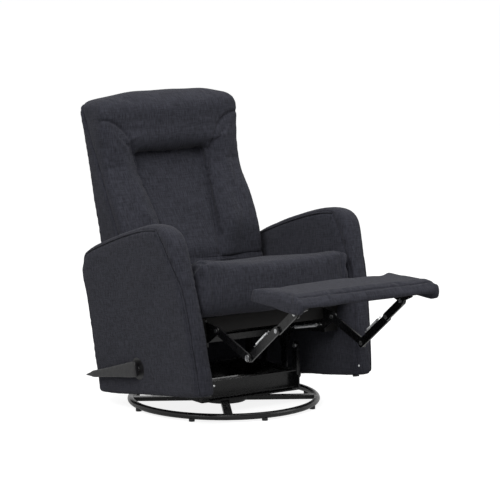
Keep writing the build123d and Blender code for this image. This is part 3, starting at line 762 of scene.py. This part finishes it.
class ReclinerStudio(bpy.types.PropertyGroup):
    """Camera, floor and lamps."""

    azimuth: FloatProperty(
        name="Azimuth", description="Direction of the camera round the chair, from its front",
        default=radians(-34.691), subtype="ANGLE")
    elevation: FloatProperty(
        name="Elevation", description="Height of the camera above the horizon",
        default=radians(9.067), subtype="ANGLE")
    distance: FloatProperty(
        name="Distance", description="Distance from the camera to the point it looks at",
        default=10.213, unit="LENGTH", min=1, max=50)
    aim: FloatVectorProperty(
        name="Aim", description="The point that the camera looks at",
        default=(0.10881, 0.184, 0.51666), subtype="XYZ", unit="LENGTH")
    lens: FloatProperty(
        name="Lens", description="Focal length in millimetres on a sensor 36 mm wide",
        default=216.0, min=10, max=500)
    floor_colour: FloatProperty(
        name="Floor lightness", description="Diffuse lightness of the floor",
        default=0.38, min=0, max=1, subtype="FACTOR")
    floor_glow: FloatProperty(
        name="Floor glow", description="Light that the floor itself shows to the camera",
        default=0.86, min=0, max=1, subtype="FACTOR")
    key_power: FloatProperty(
        name="Key lamp", description="Power of the large lamp at the front left",
        default=142.0, unit="POWER", min=0, max=2000)
    top_power: FloatProperty(
        name="Top lamp", description="Power of the lamp overhead",
        default=64.0, unit="POWER", min=0, max=2000)
    fill_power: FloatProperty(
        name="Fill lamp", description="Power of the lamp at the front right",
        default=46.0, unit="POWER", min=0, max=2000)
    sky: FloatProperty(
        name="Sky", description="Strength of the even light from all round",
        default=0.38, min=0, max=2)


FINISHES = {}


def finish(slot):
    """The material of one slot, made with the others on its first use."""
    if not FINISHES:
        cloth, metal = bpy.context.scene.recliner_cover, bpy.context.scene.recliner_metal
        linen, dust, wear = linen_group(), dust_group(), edge_wear_group()
        FINISHES["charcoal_fabric"] = make_fabric("Charcoal linen", cloth, linen, 1.0)
        FINISHES["thread"] = make_fabric("Charcoal thread", cloth, linen, 1.25)
        for name, make in (("black_steel", make_black_steel), ("zinc_steel", make_zinc),
                           ("plain_wood", make_wood), ("black_plastic", make_plastic)):
            FINISHES[name] = make(metal, dust, wear)
    return FINISHES[slot]


def covered(piece, body):
    """Give a stuffed cover smooth shading, its cloth and its body."""
    shade_smooth(piece)
    dress(piece, body, finish("charcoal_fabric"))


def trim(piece, body, material="charcoal_fabric"):
    """Give piping or stitches their cloth or thread."""
    dress(piece, body, finish(material))


# ------------------------------------------------------------------ pieces
class RECLINER_OT_studio(bpy.types.Operator):
    """Set up the camera, the pale floor and the soft lamps"""

    bl_idname = "recliner.studio"
    bl_label = "Studio"

    # each lamp's place, size and setting, the floor's size, and what gloss shows of floor and sky
    lamps = (("Key lamp", (-3.5, -2.1, 3.7), 2.8, "key_power"),
             ("Top lamp", (0.4, 0.2, 4.2), 3.2, "top_power"),
             ("Fill lamp", (3.2, -2.8, 2.6), 2.6, "fill_power"))
    floor_size, floor_gloss, sky_gloss = 120.0, 0.4, 0.75

    def execute(self, context):
        scene, look = context.scene, context.scene.recliner_studio
        away = Vector((sin(look.azimuth) * cos(look.elevation),
                       -cos(look.azimuth) * cos(look.elevation), sin(look.elevation)))
        lens = bpy.data.cameras.new("Photo camera")
        lens.lens, lens.sensor_width = look.lens, 36.0
        lens.clip_start, lens.clip_end = 0.1, 500.0
        camera = add_object("Photo camera", lens)
        camera.location = Vector(look.aim) + away * look.distance
        camera.rotation_euler = (-away).to_track_quat("-Z", "Y").to_euler()
        scene.camera = camera

        work = bmesh.new()
        bmesh.ops.create_grid(work, x_segments=1, y_segments=1, size=self.floor_size)
        floor = made(work, "studio_floor")
        floor.data.materials.append(self.floor_material(look))

        for name, place, size, setting in self.lamps:
            self.lamp(name, place, size, getattr(look, setting), look.aim)
        self.sky(scene, look)
        scene.view_settings.view_transform = "Standard"
        return {"FINISHED"}

    def lamp(self, name, place, size, power, aim):
        """A large square lamp that looks at the chair."""
        light = bpy.data.lights.new(name, "AREA")
        light.size, light.energy = size, power
        lamp = add_object(name, light)
        lamp.location = place
        lamp.rotation_euler = (Vector(aim) - Vector(place)).to_track_quat("-Z", "Y").to_euler()

    def floor_material(self, look):
        """A floor that shows white and keeps the chair's shadow."""
        material = bpy.data.materials.new("Studio floor")
        material.use_nodes = True
        t = Tree(material.node_tree)
        material.node_tree.nodes.clear()
        tone = t.noise(t.place(), 0.8, 2.0)
        level = t.spread(tone, 0.0, 1.0, look.floor_colour * 0.99, look.floor_colour * 1.01)
        colour = t.node("ShaderNodeCombineColor", {"Red": level, "Green": level, "Blue": level})
        matt = t.node("ShaderNodeBsdfDiffuse", {"Color": colour.outputs[0]})
        strength = t.math("MULTIPLY", t.seen(self.floor_gloss), look.floor_glow)
        glow = t.node("ShaderNodeEmission", {"Color": (1, 1, 1, 1), "Strength": strength})
        both = t.node("ShaderNodeAddShader")
        t.give_all(both.inputs, (matt.outputs[0], glow.outputs[0]))
        out = t.node("ShaderNodeOutputMaterial")
        t.give(out.inputs["Surface"], both.outputs[0])
        return material

    def sky(self, scene, look):
        """An even sky that is white to the camera, and to gloss and glass."""
        scene.world = scene.world or bpy.data.worlds.new("Studio sky")
        scene.world.use_nodes = True
        t = Tree(scene.world.node_tree)
        scene.world.node_tree.nodes.clear()
        strength = t.math("MAXIMUM", t.seen(self.sky_gloss), look.sky)
        back = t.node("ShaderNodeBackground", {"Color": (1, 1, 1, 1), "Strength": strength})
        out = t.node("ShaderNodeOutputWorld")
        t.give(out.inputs["Surface"], back.outputs[0])


class RECLINER_OT_frame_finish(bpy.types.Operator):
    """Give every solid that stays in view its enamel, zinc, wood or plastic"""

    bl_idname = "recliner.frame_finish"
    bl_label = "Frame finishes"

    def execute(self, context):
        slots = {p["node"]: p["material_slot"] for p in frame["record"]["subparts"]}
        for name, node in frame["nodes"].items():
            material = finish(slots[name])
            if not node.material_slots:
                node.data.materials.append(material)
            for place in node.material_slots:
                place.material = material
        return {"FINISHED"}


class RECLINER_OT_seat(bpy.types.Operator):
    """Build the stuffed seat cushion with its waterfall front"""

    bl_idname = "recliner.seat"
    bl_label = "Seat cushion"

    # the side seam, over the top and down the front, and what is held while the filling swells
    seam_x = 0.262
    seam = ((0.45, 0.42), (0.05, 0.42), (0.0, 0.40), (-0.01, 0.34), (0.0, 0.25))
    base_height, held_near = 0.256, 0.006
    # how far the front ends of the top stand up on the right and the left
    right_rise, left_rise, half_width = 0.040, 0.019, 0.285
    # the dip where it is sat on
    dip, dip_v, dip_wide, dip_long = 0.006, 0.25, 0.15, 0.16
    # upright folds on the front: place across and height
    folds = ((-0.232, 0.0028), (-0.211, 0.0018), (0.236, 0.0024), (0.205, 0.0012))
    fold_width, fold_slant = 0.008, 0.02

    def execute(self, context):
        look = context.scene.recliner_cover
        seat = node_copy("seat_cushion", "seat_cushion_cover")
        rebuild_skin(seat, cell=0.006, rounds=26)
        tree = skin_tree(seat)
        lines = [nearest_line(tree, side_run(side * self.seam_x, self.seam)) for side, _ in SIDES]
        points = points_of(seat)
        near = seam_distance(points, lines)[0] < self.held_near
        base = (points @ np.array(UPWARD)) < np.dot(seat_point(0, 0, self.base_height), UPWARD)
        fill_out(seat, near | base, look.filling_pressure, look.filling_cap * 0.4)
        subdivide(seat)
        sew(seat, lines, depth=look.seam_depth * 0.6, width=0.005, pucker=0.0018, seed=3)
        self.sag(seat)
        unsettle(seat, height=0.0018, size=0.16, seed=5)
        covered(seat, "carriage")
        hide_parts("seat_cushion")
        return {"FINISHED"}

    def sag(self, seat):
        """Where it is sat on it is lower, and soft upright folds stand near its front ends."""
        points, outward = points_of(seat), normals_of(seat)
        x, v, w = seat_axes(points)
        top = ramp(w, 0.33, 0.41)
        ends = np.where(x < 0, self.right_rise, self.left_rise)
        ends = ends * np.clip(np.abs(x) / self.half_width, 0, 1.05) ** 2.2
        dip = self.dip * bell(x, self.dip_wide) * bell(v - self.dip_v, self.dip_long)
        rise = top * (ends * bell(v - 0.045, 0.075) - dip)
        front = ramp(v, 0.05, 0.01) * ramp(w, 0.26, 0.30)
        folds = np.zeros(len(points))
        for place, height in self.folds:
            folds += height * bell(x - place - self.fold_slant * (w - 0.34), self.fold_width)
        set_points(seat, points + np.array(UPWARD) * rise[:, None] + outward * (front * folds)[:, None])


class RECLINER_OT_back(bpy.types.Operator):
    """Build the back: head roll, side bolsters, sunken panel and rear shell"""

    bl_idname = "recliner.back"
    bl_label = "Back"

    # planes in front of and behind the back, from which its seams are cast on it
    before, after = 0.4, 0.8
    # the ear seam from the outer edge in to the panel, and its row of stitches beside it
    ear = ((0.284, 0.918), (0.262, 0.919), (0.237, 0.912), (0.208, 0.894), (0.184, 0.866),
           (0.168, 0.834), (0.156, 0.799))
    row_in, row_up = 0.003, 0.009
    # the sunken panel: its top and foot, half its width at the top, and how it narrows
    panel_top, panel_foot, panel_half, panel_taper = 0.795, 0.43, 0.152, 0.145
    panel_seam_half = panel_half - 0.003
    # how deep the panel is sunk, and the reach and swelling of bolsters and head roll round it
    sink = 0.0095
    bolster_reach, roll_reach = 0.019, 0.024
    bolster_swell, roll_swell = 0.014, 0.010
    swell_off, swell_width = 0.052, 0.030
    # the fainter seam where a bolster turns to its side
    corner = ((0.25, 0.82), (0.25, 0.7), (0.25, 0.58), (0.25, 0.46))
    # the plane where the cushion meets the shell: its lean and a point on it
    lean, meet_v, meet_w = radians(21.1), 0.541, 0.533
    held_behind = -0.012
    # the seams of the rear: upright, and the middle, side and bow of the top one
    rear_side = ((0.262, 0.30), (0.262, 0.5), (0.262, 0.7), (0.262, 0.9), (0.262, 0.955))
    rear_top, rear_half, rear_bow = 0.958, 0.25, 0.25
    # folds that pull in under the head roll: x, w, slope, length, width and height
    folds = ((0.178, 0.836, 0.16, 0.035, 0.007, 0.004), (-0.176, 0.59, -1.9, 0.03, 0.008, 0.0035),
             (-0.17, 0.846, 0.5, 0.03, 0.007, 0.003), (0.20, 0.56, 2.6, 0.03, 0.008, 0.002))

    def execute(self, context):
        look = context.scene.recliner_cover
        cushion = node_copy("back_cushion", "back_cushion_cover")
        rebuild_skin(cushion, cell=0.006, rounds=15)
        self.sink_panel(cushion)
        tree = skin_tree(cushion)
        lines = self.front_lines(tree)
        points = points_of(cushion)
        near = seam_distance(points, lines)[0] < HELD_NEAR
        inner = self.behind(points) > self.held_behind
        fill_out(cushion, near | inner, look.filling_pressure, look.filling_cap * 0.35)
        subdivide(cushion)
        sew(cushion, lines, depth=look.seam_depth * 1.1, width=0.0055, pucker=0.0022, seed=11)
        corners = self.mirrored(tree, self.corner)
        sew(cushion, corners, depth=look.seam_depth * 0.4, width=0.0045, pucker=0.0008, seed=13)
        unsettle(cushion, height=0.002, size=0.13, seed=12)
        self.wrinkles(cushion)
        covered(cushion, "back")
        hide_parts("back_cushion")

        shell = node_copy("back_shell", "back_shell_cover")
        rebuild_skin(shell, cell=0.007, rounds=6)
        rear = self.rear_lines(skin_tree(shell))
        subdivide(shell)
        sew(shell, rear, depth=look.seam_depth * 0.7, width=0.005, crown=0.003, reach=0.05,
            pucker=0.0012, seed=21)
        unsettle(shell, height=0.0014, size=0.2, seed=22)
        covered(shell, "back")
        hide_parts("back_shell")

        row = [(x - self.row_in, w + self.row_up) for x, w in self.ear[:-1]]
        trim(stitch_row("back_top_stitches", self.mirrored(tree, row)), "back", "thread")
        trim(stitch_row("back_rear_stitches", rear, **REAR_STITCH), "back", "thread")
        return {"FINISHED"}

    def mirrored(self, tree, places):
        """A seam on the front of the left half, and the same on the right."""
        runs = [front_run(self.before, [(side * x, w) for x, w in places]) for side, _ in SIDES]
        return [cast_line(tree, run, REARWARD) for run in runs]

    def behind(self, points):
        """How far points lie behind the plane where the cushion meets the shell."""
        facing = REARWARD * cos(self.lean) - UPWARD * sin(self.lean)
        return (points - np.array(seat_point(0, self.meet_v, self.meet_w))) @ np.array(facing)

    def panel_edge(self, w):
        """Half the width of the sunken panel at one height."""
        return self.panel_half - (self.panel_top - w) * self.panel_taper

    def front_lines(self, tree):
        """The ear seams and the border of the sunken panel."""
        heights = np.linspace(self.panel_top, self.panel_foot, 12)
        ears = self.mirrored(tree, self.ear)
        edges = self.mirrored(tree, [(self.panel_edge(w), w) for w in heights])
        top = [(side * self.panel_seam_half, self.panel_top) for side in (-1, 1)]
        lines = [line for pair in zip(ears, edges) for line in pair]
        return [*lines, cast_line(tree, front_run(self.before, top), REARWARD)]

    def sink_panel(self, cushion):
        """Set the panel deep between round bolsters, under a head roll that tucks in above it."""
        points, outward = points_of(cushion), normals_of(cushion)
        x, _, w = seat_axes(points)
        front = np.clip(-(outward @ np.array(REARWARD)) * 2 - 0.3, 0, 1)
        beside, above = np.abs(x) - self.panel_edge(w), w - self.panel_top
        beyond = np.maximum(np.maximum(beside, above), 0)
        low = ramp(w, 0.40, 0.52)
        reach = np.where(above > beside, self.roll_reach, self.bolster_reach)
        move = -self.sink * np.exp(-beyond / reach) * (0.45 + 0.55 * low)
        swell = np.where(above > beside, self.roll_swell, self.bolster_swell)
        move += swell * low * bell(beyond - self.swell_off, self.swell_width)
        set_points(cushion, points + outward * (front * move)[:, None])

    def rear_lines(self, tree):
        """Seams round the flat rear panel of the shell."""
        across = np.linspace(-self.rear_half, self.rear_half, 9)
        seams = [[(side * x, w) for x, w in self.rear_side] for side, _ in SIDES]
        seams.append([(x, self.rear_top - self.rear_bow * x * x) for x in across])
        return [cast_line(tree, front_run(self.after, seam, REAR_SEAM_STEP), -REARWARD)
                for seam in seams]

    def wrinkles(self, cushion):
        """The few small folds that pull in under the head roll."""
        points, outward = points_of(cushion), normals_of(cushion)
        x, _, w = seat_axes(points)
        facing = np.clip(-(outward @ np.array(REARWARD)), 0, 1)
        fold = np.zeros(len(points))
        for x0, w0, slope, long, wide, height in self.folds:
            turn = atan2(slope, 1)
            along = (x - x0) * cos(turn) + (w - w0) * sin(turn)
            across = -(x - x0) * sin(turn) + (w - w0) * cos(turn)
            fold += height * bell(along, long) * bell(across, wide)
        set_points(cushion, points + outward * (facing * fold)[:, None])


class RECLINER_OT_arms(bpy.types.Operator):
    """Build the two padded arms with their welts and stitched seams"""

    bl_idname = "recliner.arms"
    bl_label = "Arms"

    # the middle of an arm, and how far beside it the planes are from which seams are cast
    middle, off = 0.33, 0.2
    # seams on a face as v, w: down the front, down the rear, and across under the front's pad
    front_seam = ((0.128, 0.548), (0.104, 0.516), (0.082, 0.475), (0.061, 0.429), (0.042, 0.390),
                  (0.029, 0.355), (0.022, 0.303), (0.016, 0.240), (0.012, 0.150), (0.009, 0.060),
                  (0.009, 0.008))
    rear_seam = ((0.580, 0.476), (ARM_REAR - 0.004, 0.430), (ARM_REAR - 0.014, 0.28),
                 (ARM_REAR - 0.006, 0.010))
    cross_seam = ((0.040, 0.391), (0.085, 0.386), (0.160, 0.379), (0.235, 0.375))
    # the top seam: its ends, how far it lies below the top, and where the top's height is taken
    top_start, top_end, top_drop, crest = 0.128, 0.580, 0.013, 0.34
    above_all = 0.8
    # the row of stitches beside the front seam: its places, and how far in front and above it is
    row_places, row_off, row_up, row_spread, row_low = 5, 0.004, 0.003, 0.05, 0.3

    def execute(self, context):
        look = context.scene.recliner_cover
        for side, name in SIDES:
            arm = node_copy(f"arm_{name}", f"arm_{name}_cover")
            rebuild_skin(arm, cell=0.006, rounds=20)
            tree = skin_tree(arm)
            outer, inner = self.face_lines(tree, side, side), self.face_lines(tree, side, -side)
            lines = [run for seams in (outer, inner) for label, run in seams.items() if label != "cross"]
            subdivide(arm)
            sew(arm, lines, depth=look.seam_depth, width=0.005, crown=0.0035, reach=0.035,
                pucker=0.0011, seed=31 + side)
            sew(arm, [outer["cross"]], depth=look.seam_depth * 0.3, width=0.004, seed=35 + side)
            unsettle(arm, height=0.0014, size=0.17, seed=33 + side)
            low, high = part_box(f"arm_{name}")
            hold_width(arm, low.x if side > 0 else -OUTSIDE, high.x if side < 0 else OUTSIDE)
            covered(arm, "carriage")
            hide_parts(f"arm_{name}")
            welts = [outer["top"], outer["front"], inner["top"]]
            trim(welt(f"arm_{name}_welt", welts, look.welt_radius), "carriage")
            row = self.cast(tree, side, side, self.row_beside())
            trim(stitch_row(f"arm_{name}_stitches", [row]), "carriage", "thread")
        return {"FINISHED"}

    def face_x(self, side, face):
        """A plane beside an arm: face is the way that the arm's face looks."""
        return side * self.middle + face * self.off

    def cast(self, tree, side, face, places):
        """A seam on one face of an arm."""
        return cast_line(tree, side_run(self.face_x(side, face), places), (-face, 0, 0))

    def face_lines(self, tree, side, face):
        """The seams on one face of an arm."""
        top = []
        for v in np.linspace(self.top_start, self.top_end, 24):
            above = tree.ray_cast(seat_point(side * self.crest, v, self.above_all), -UPWARD)[0]
            high = (above - seat_point(0, 0, 0)).dot(UPWARD)
            top.append(seat_point(self.face_x(side, face), v, high - self.top_drop))
        lines = {"top": cast_line(tree, spaced(top, SEAM_STEP), (-face, 0, 0)),
                 "front": self.cast(tree, side, face, self.front_seam),
                 "rear": self.cast(tree, side, face, self.rear_seam)}
        if side == face:
            lines["cross"] = self.cast(tree, side, face, self.cross_seam)
        return lines

    def row_beside(self):
        """The row of stitches in front of the front seam."""
        return [(v - self.row_off - self.row_spread * max(0, w - self.row_low), w + self.row_up)
                for v, w in self.front_seam[:self.row_places]]


class RECLINER_OT_footrest(bpy.types.Operator):
    """Build the footrest's pad with its hanging ends"""

    bl_idname = "recliner.footrest"
    bl_label = "Footrest pad"

    # the toe seam: half its length, its height, and a plane in front of it
    toe_half, toe_height, before = 0.262, 0.3185, -0.55
    # the part of the pad that lies on the board
    board_depth, board_half = 0.024, 0.248
    # a ridge and a crease near each front corner: place along the pad, and height
    creases = ((0.262, 0.0026), (0.249, -0.0022))
    crease_width = 0.006

    def execute(self, context):
        look = context.scene.recliner_cover
        pad = node_copy("footrest_cushion", "footrest_pad_cover")
        rebuild_skin(pad, cell=0.005, rounds=9)
        tree = skin_tree(pad)
        toe = [(x, self.toe_height) for x in np.linspace(-self.toe_half, self.toe_half, 12)]
        lines = [cast_line(tree, front_run(self.before, toe), REARWARD)]
        points = points_of(pad)
        near = seam_distance(points, lines)[0] < HELD_NEAR
        fill_out(pad, near | self.underside(points), look.filling_pressure, look.filling_cap * 0.25)
        subdivide(pad)
        sew(pad, lines, depth=look.seam_depth * 0.7, width=0.0045, pucker=0.0018, seed=41)
        self.crease(pad)
        unsettle(pad, height=0.0012, size=0.12, seed=42)
        low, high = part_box("footrest_cushion")
        hold_width(pad, low.x, high.x)
        covered(pad, "footrest")
        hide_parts("footrest_cushion")
        trim(stitch_row("footrest_stitches", lines), "footrest", "thread")
        return {"FINISHED"}

    def pad_axis(self, points, v, w):
        """How far points lie from the pad's rear top edge along one of its own axes."""
        start = np.array(rest_point(0, 0, 0))
        return (points - start) @ (np.array(rest_point(0, v, w)) - start)

    def underside(self, points):
        """The points that lie on the board."""
        return (self.pad_axis(points, 0, 1) > self.board_depth) & (np.abs(points[:, 0]) < self.board_half)

    def crease(self, pad):
        """A soft upright crease near each front corner."""
        points = points_of(pad)
        along = self.pad_axis(points, 1, 0)
        end = ramp(np.abs(points[:, 0]), self.toe_half, self.toe_half + 0.01)
        lift(pad, end * sum(height * bell(along - at, self.crease_width) for at, height in self.creases))


class RECLINER_OT_rear_panel(bpy.types.Operator):
    """Build the cloth panel that closes the rear between the arms"""

    bl_idname = "recliner.rear_panel"
    bl_label = "Rear panel"

    # the seam round the panel as x, w, and a plane behind the chair
    edge = ((-0.276, 0.032), (0.276, 0.032), (0.283, 0.186), (-0.283, 0.186), (-0.276, 0.032))
    after = 0.9

    def execute(self, context):
        panel = node_copy("rear_panel", "rear_panel_cover")
        rebuild_skin(panel, cell=0.004, rounds=3)
        run = spaced([seat_point(x, self.after, w) for x, w in self.edge], REAR_SEAM_STEP)
        line = cast_line(skin_tree(panel), run, -REARWARD)
        sew(panel, [line], depth=0.0015, width=0.004, pucker=0.0006, seed=51)
        unsettle(panel, height=0.0012, size=0.15, seed=52)
        covered(panel, "carriage")
        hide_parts("rear_panel")
        trim(stitch_row("rear_panel_stitches", [line], **REAR_STITCH), "carriage", "thread")
        return {"FINISHED"}


class RECLINER_OT_lever(bpy.types.Operator):
    """Build the moulded lever handle that tapers to its tip"""

    bl_idname = "recliner.lever"
    bl_label = "Lever"

    # along the handle from the pivot: half height above, half height below, half thickness
    stations = ((-0.0185, 0.016, 0.017, 0.0060), (-0.0170, 0.0225, 0.0235, 0.0078),
                (-0.011, 0.0262, 0.0270, 0.0085), (0.0, 0.0275, 0.0280, 0.0085),
                (0.030, 0.0260, 0.027, 0.0085), (0.070, 0.0225, 0.0240, 0.0083),
                (0.120, 0.0185, 0.0205, 0.0080), (0.170, 0.0150, 0.0175, 0.0077),
                (0.220, 0.0120, 0.0150, 0.0073), (0.248, 0.0110, 0.0140, 0.0070),
                (0.262, 0.0104, 0.0132, 0.0068), (0.270, 0.0070, 0.0100, 0.0060),
                (0.290, 0.0030, 0.0062, 0.0045), (0.305, 0.0006, 0.0036, 0.0030),
                (0.309, -0.0006, 0.0022, 0.0015))
    pivot_v, pivot_w, droop = 0.346, 0.088, radians(4.5)
    # corners of a section, and how full it is towards its sides and towards its edges
    corners, side_power, edge_power = 16, 0.6, 0.75

    def execute(self, context):
        low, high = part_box("lever_handle")
        middle_x = (low.x + high.x) / 2
        work = bmesh.new()
        join_rings(work, [self.section(work, middle_x, *station) for station in self.stations])
        handle = made(work, "lever_paddle")
        subdivide(handle, 2)
        shade_smooth(handle)
        dress(handle, "lever", finish("black_plastic"))
        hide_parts("lever_handle")
        return {"FINISHED"}

    def section(self, work, middle_x, at, above, below, thick):
        """The corners of the handle's section at one distance from the pivot."""
        ring = []
        for a in round_turn(self.corners):
            c, s = cos(a), sin(a)
            across = thick * abs(c) ** self.side_power * (1 if c >= 0 else -1)
            high = above if s >= 0 else below
            up = high * abs(s) ** self.edge_power * (1 if s >= 0 else -1)
            v = self.pivot_v + at * cos(self.droop) + up * sin(self.droop)
            w = self.pivot_w - at * sin(self.droop) + up * cos(self.droop)
            ring.append(work.verts.new(seat_point(middle_x + across, v, w)))
        return ring


class RECLINER_OT_hardware(bpy.types.Operator):
    """Add the pull springs, the snap rings of the elbows and the rivets of the arm fronts"""

    bl_idname = "recliner.hardware"
    bl_label = "Springs, rings and rivets"

    # the pull spring's distance to the side, its two ends, and its radius and wire
    pull_x, pull_near, pull_far, pull_size = 0.2265, (0.104, 0.178), (0.286, 0.166), (0.0058, 0.0011)
    # the lock spring beside the mid link: its ends as shares of the link, and how far below it
    lock_x, lock_shares, lock_below, lock_size = 0.223, (0.22, 0.80), -0.019, (0.0034, 0.0009)
    elbow, knee = (-0.120, 0.118), (-0.278, 0.209)
    # the snap ring on the elbow's pin, and the rivet at the foot of the arm's front
    snap_x, snap_radius, snap_wire = 0.2362, 0.0102, 0.0011
    snap_start, snap_end, snap_points = radians(-140), radians(150), 40
    rivet_x, rivet_height, rivet_radius = 0.293, 0.032, 0.0036
    # a rivet head's rings: share of its radius, and how far out of the arm
    dome_rings = ((1.0, 0.0), (0.96, 0.28), (0.78, 0.5), (0.45, 0.64), (0.12, 0.68))
    dome_corners = 20
    # a spring: points in a turn, the wire's divisions, where its coil starts, and its share
    steps_in_turn, wire_step, coil_start, coil_share = 14, 0.0012, 0.16, 0.68
    # its hook from the coil outward: in from the tip as a share of the length and as a distance,
    # then aside and across as shares of the coil's radius
    hook = ((0.13, 0.0, 0.4, 0.0), (0.08, 0.0, 0.0, 0.0), (0.0, 0.003, 0.0, 0.6),
            (0.0, 0.0, 0.0, 0.0), (0.0, 0.004, 0.0, -0.5))

    def execute(self, context):
        turns = 2 * context.scene.recliner_metal.spring_turns
        for side, name in SIDES:
            near, far = (seat_point(side * self.pull_x, *end) for end in (self.pull_near, self.pull_far))
            self.wire(f"pull_spring_{name}", "carriage", near, far, turns, *self.pull_size)

            (v0, w0), (v1, w1) = self.elbow, self.knee
            turn = atan2(w1 - w0, v1 - v0)
            off_v, off_w = self.lock_below * -sin(turn), self.lock_below * cos(turn)
            near, far = (seat_point(
                side * self.lock_x, v0 + (v1 - v0) * k + off_v, w0 + (w1 - w0) * k + off_w)
                for k in self.lock_shares)
            self.wire(f"lock_spring_{name}", f"mid_{name}", near, far, turns, *self.lock_size)

            work = bmesh.new()
            tube(work, self.ring(side * self.snap_x), self.snap_wire)
            self.fit(made(work, f"snap_ring_{name}"), f"drive_{name}")
            place = seat_point(side * self.rivet_x, 0.0, self.rivet_height)
            self.fit(self.dome(f"arm_rivet_{name}", place), "carriage")
        return {"FINISHED"}

    def fit(self, piece, body):
        """Put a piece of zinc-plated steel on its body."""
        dress(piece, body, finish("zinc_steel"))

    def wire(self, name, body, near, far, turns, radius, thickness):
        """A pull spring between two places."""
        work = bmesh.new()
        tube(work, self.coil(near, far, radius, turns), thickness)
        self.fit(made(work, name), body)

    def ring(self, x):
        """An open snap ring round the elbow's pin."""
        v, w = self.elbow
        turns = np.linspace(self.snap_start, self.snap_end, self.snap_points)
        return np.array([tuple(seat_point(
            x, v + self.snap_radius * cos(a), w + self.snap_radius * sin(a))) for a in turns])

    def dome(self, name, place):
        """A low round rivet head that faces forward."""
        work = bmesh.new()
        size, side, rings = self.rivet_radius, Vector((1, 0, 0)), []
        for share, out in self.dome_rings:
            middle = place - REARWARD * size * out
            wide = size * share
            rings.append([work.verts.new(middle + side * wide * cos(a) + UPWARD * wide * sin(a))
                          for a in round_turn(self.dome_corners)])
        join_rings(work, rings)
        return made(work, name)

    def coil(self, start, end, radius, turns):
        """A hook, a close coil and a hook in one wire."""
        length = (end - start).length
        axis = (end - start).normalized()
        side = axis.orthogonal().normalized()
        across = axis.cross(side)
        line = []
        steps = turns * self.steps_in_turn
        for k in range(steps + 1):
            share = k / steps
            turn = 2 * pi * turns * share
            place = start + axis * length * (self.coil_start + self.coil_share * share)
            line.append(place + side * radius * cos(turn) + across * radius * sin(turn))
        near, far = ([tip + way * (length * share + off) + side * radius * a + across * radius * b
                      for share, off, a, b in self.hook]
                     for tip, way in ((start, axis), (end, -axis)))
        return spaced(near[::-1] + line + far, self.wire_step)


PIECES = (RECLINER_OT_studio, RECLINER_OT_frame_finish, RECLINER_OT_seat, RECLINER_OT_back,
          RECLINER_OT_arms, RECLINER_OT_footrest, RECLINER_OT_rear_panel, RECLINER_OT_lever,
          RECLINER_OT_hardware)


class RECLINER_PT_pieces(bpy.types.Panel):
    """The recliner's sizes, colours and pieces"""

    bl_idname = "RECLINER_PT_pieces"
    bl_label = "Recliner"
    bl_space_type = "VIEW_3D"
    bl_region_type = "UI"
    bl_category = "Recliner"

    def draw(self, context):
        for owner in (context.scene.recliner_cover, context.scene.recliner_metal,
                      context.scene.recliner_studio):
            box = self.layout.box()
            for name in type(owner).__annotations__:
                box.prop(owner, name)
        for piece in PIECES:
            self.layout.operator(piece.bl_idname)


CLASSES = (ReclinerCover, ReclinerMetal, ReclinerStudio, *PIECES, RECLINER_PT_pieces)


def register():
    """Make the settings, operators and panel known."""
    for made_class in CLASSES:
        bpy.utils.register_class(made_class)
    bpy.types.Scene.recliner_cover = PointerProperty(type=ReclinerCover)
    bpy.types.Scene.recliner_metal = PointerProperty(type=ReclinerMetal)
    bpy.types.Scene.recliner_studio = PointerProperty(type=ReclinerStudio)


def unregister():
    """Take the settings, operators and panel away."""
    del bpy.types.Scene.recliner_cover
    del bpy.types.Scene.recliner_metal
    del bpy.types.Scene.recliner_studio
    for made_class in reversed(CLASSES):
        bpy.utils.unregister_class(made_class)


def main():
    """Build every piece in order."""
    register()
    bpy.ops.recliner.studio()
    bpy.ops.recliner.frame_finish()
    bpy.ops.recliner.seat()
    bpy.ops.recliner.back()
    bpy.ops.recliner.arms()
    bpy.ops.recliner.footrest()
    bpy.ops.recliner.rear_panel()
    bpy.ops.recliner.lever()
    bpy.ops.recliner.hardware()


if __name__ == "__main__":
    main()
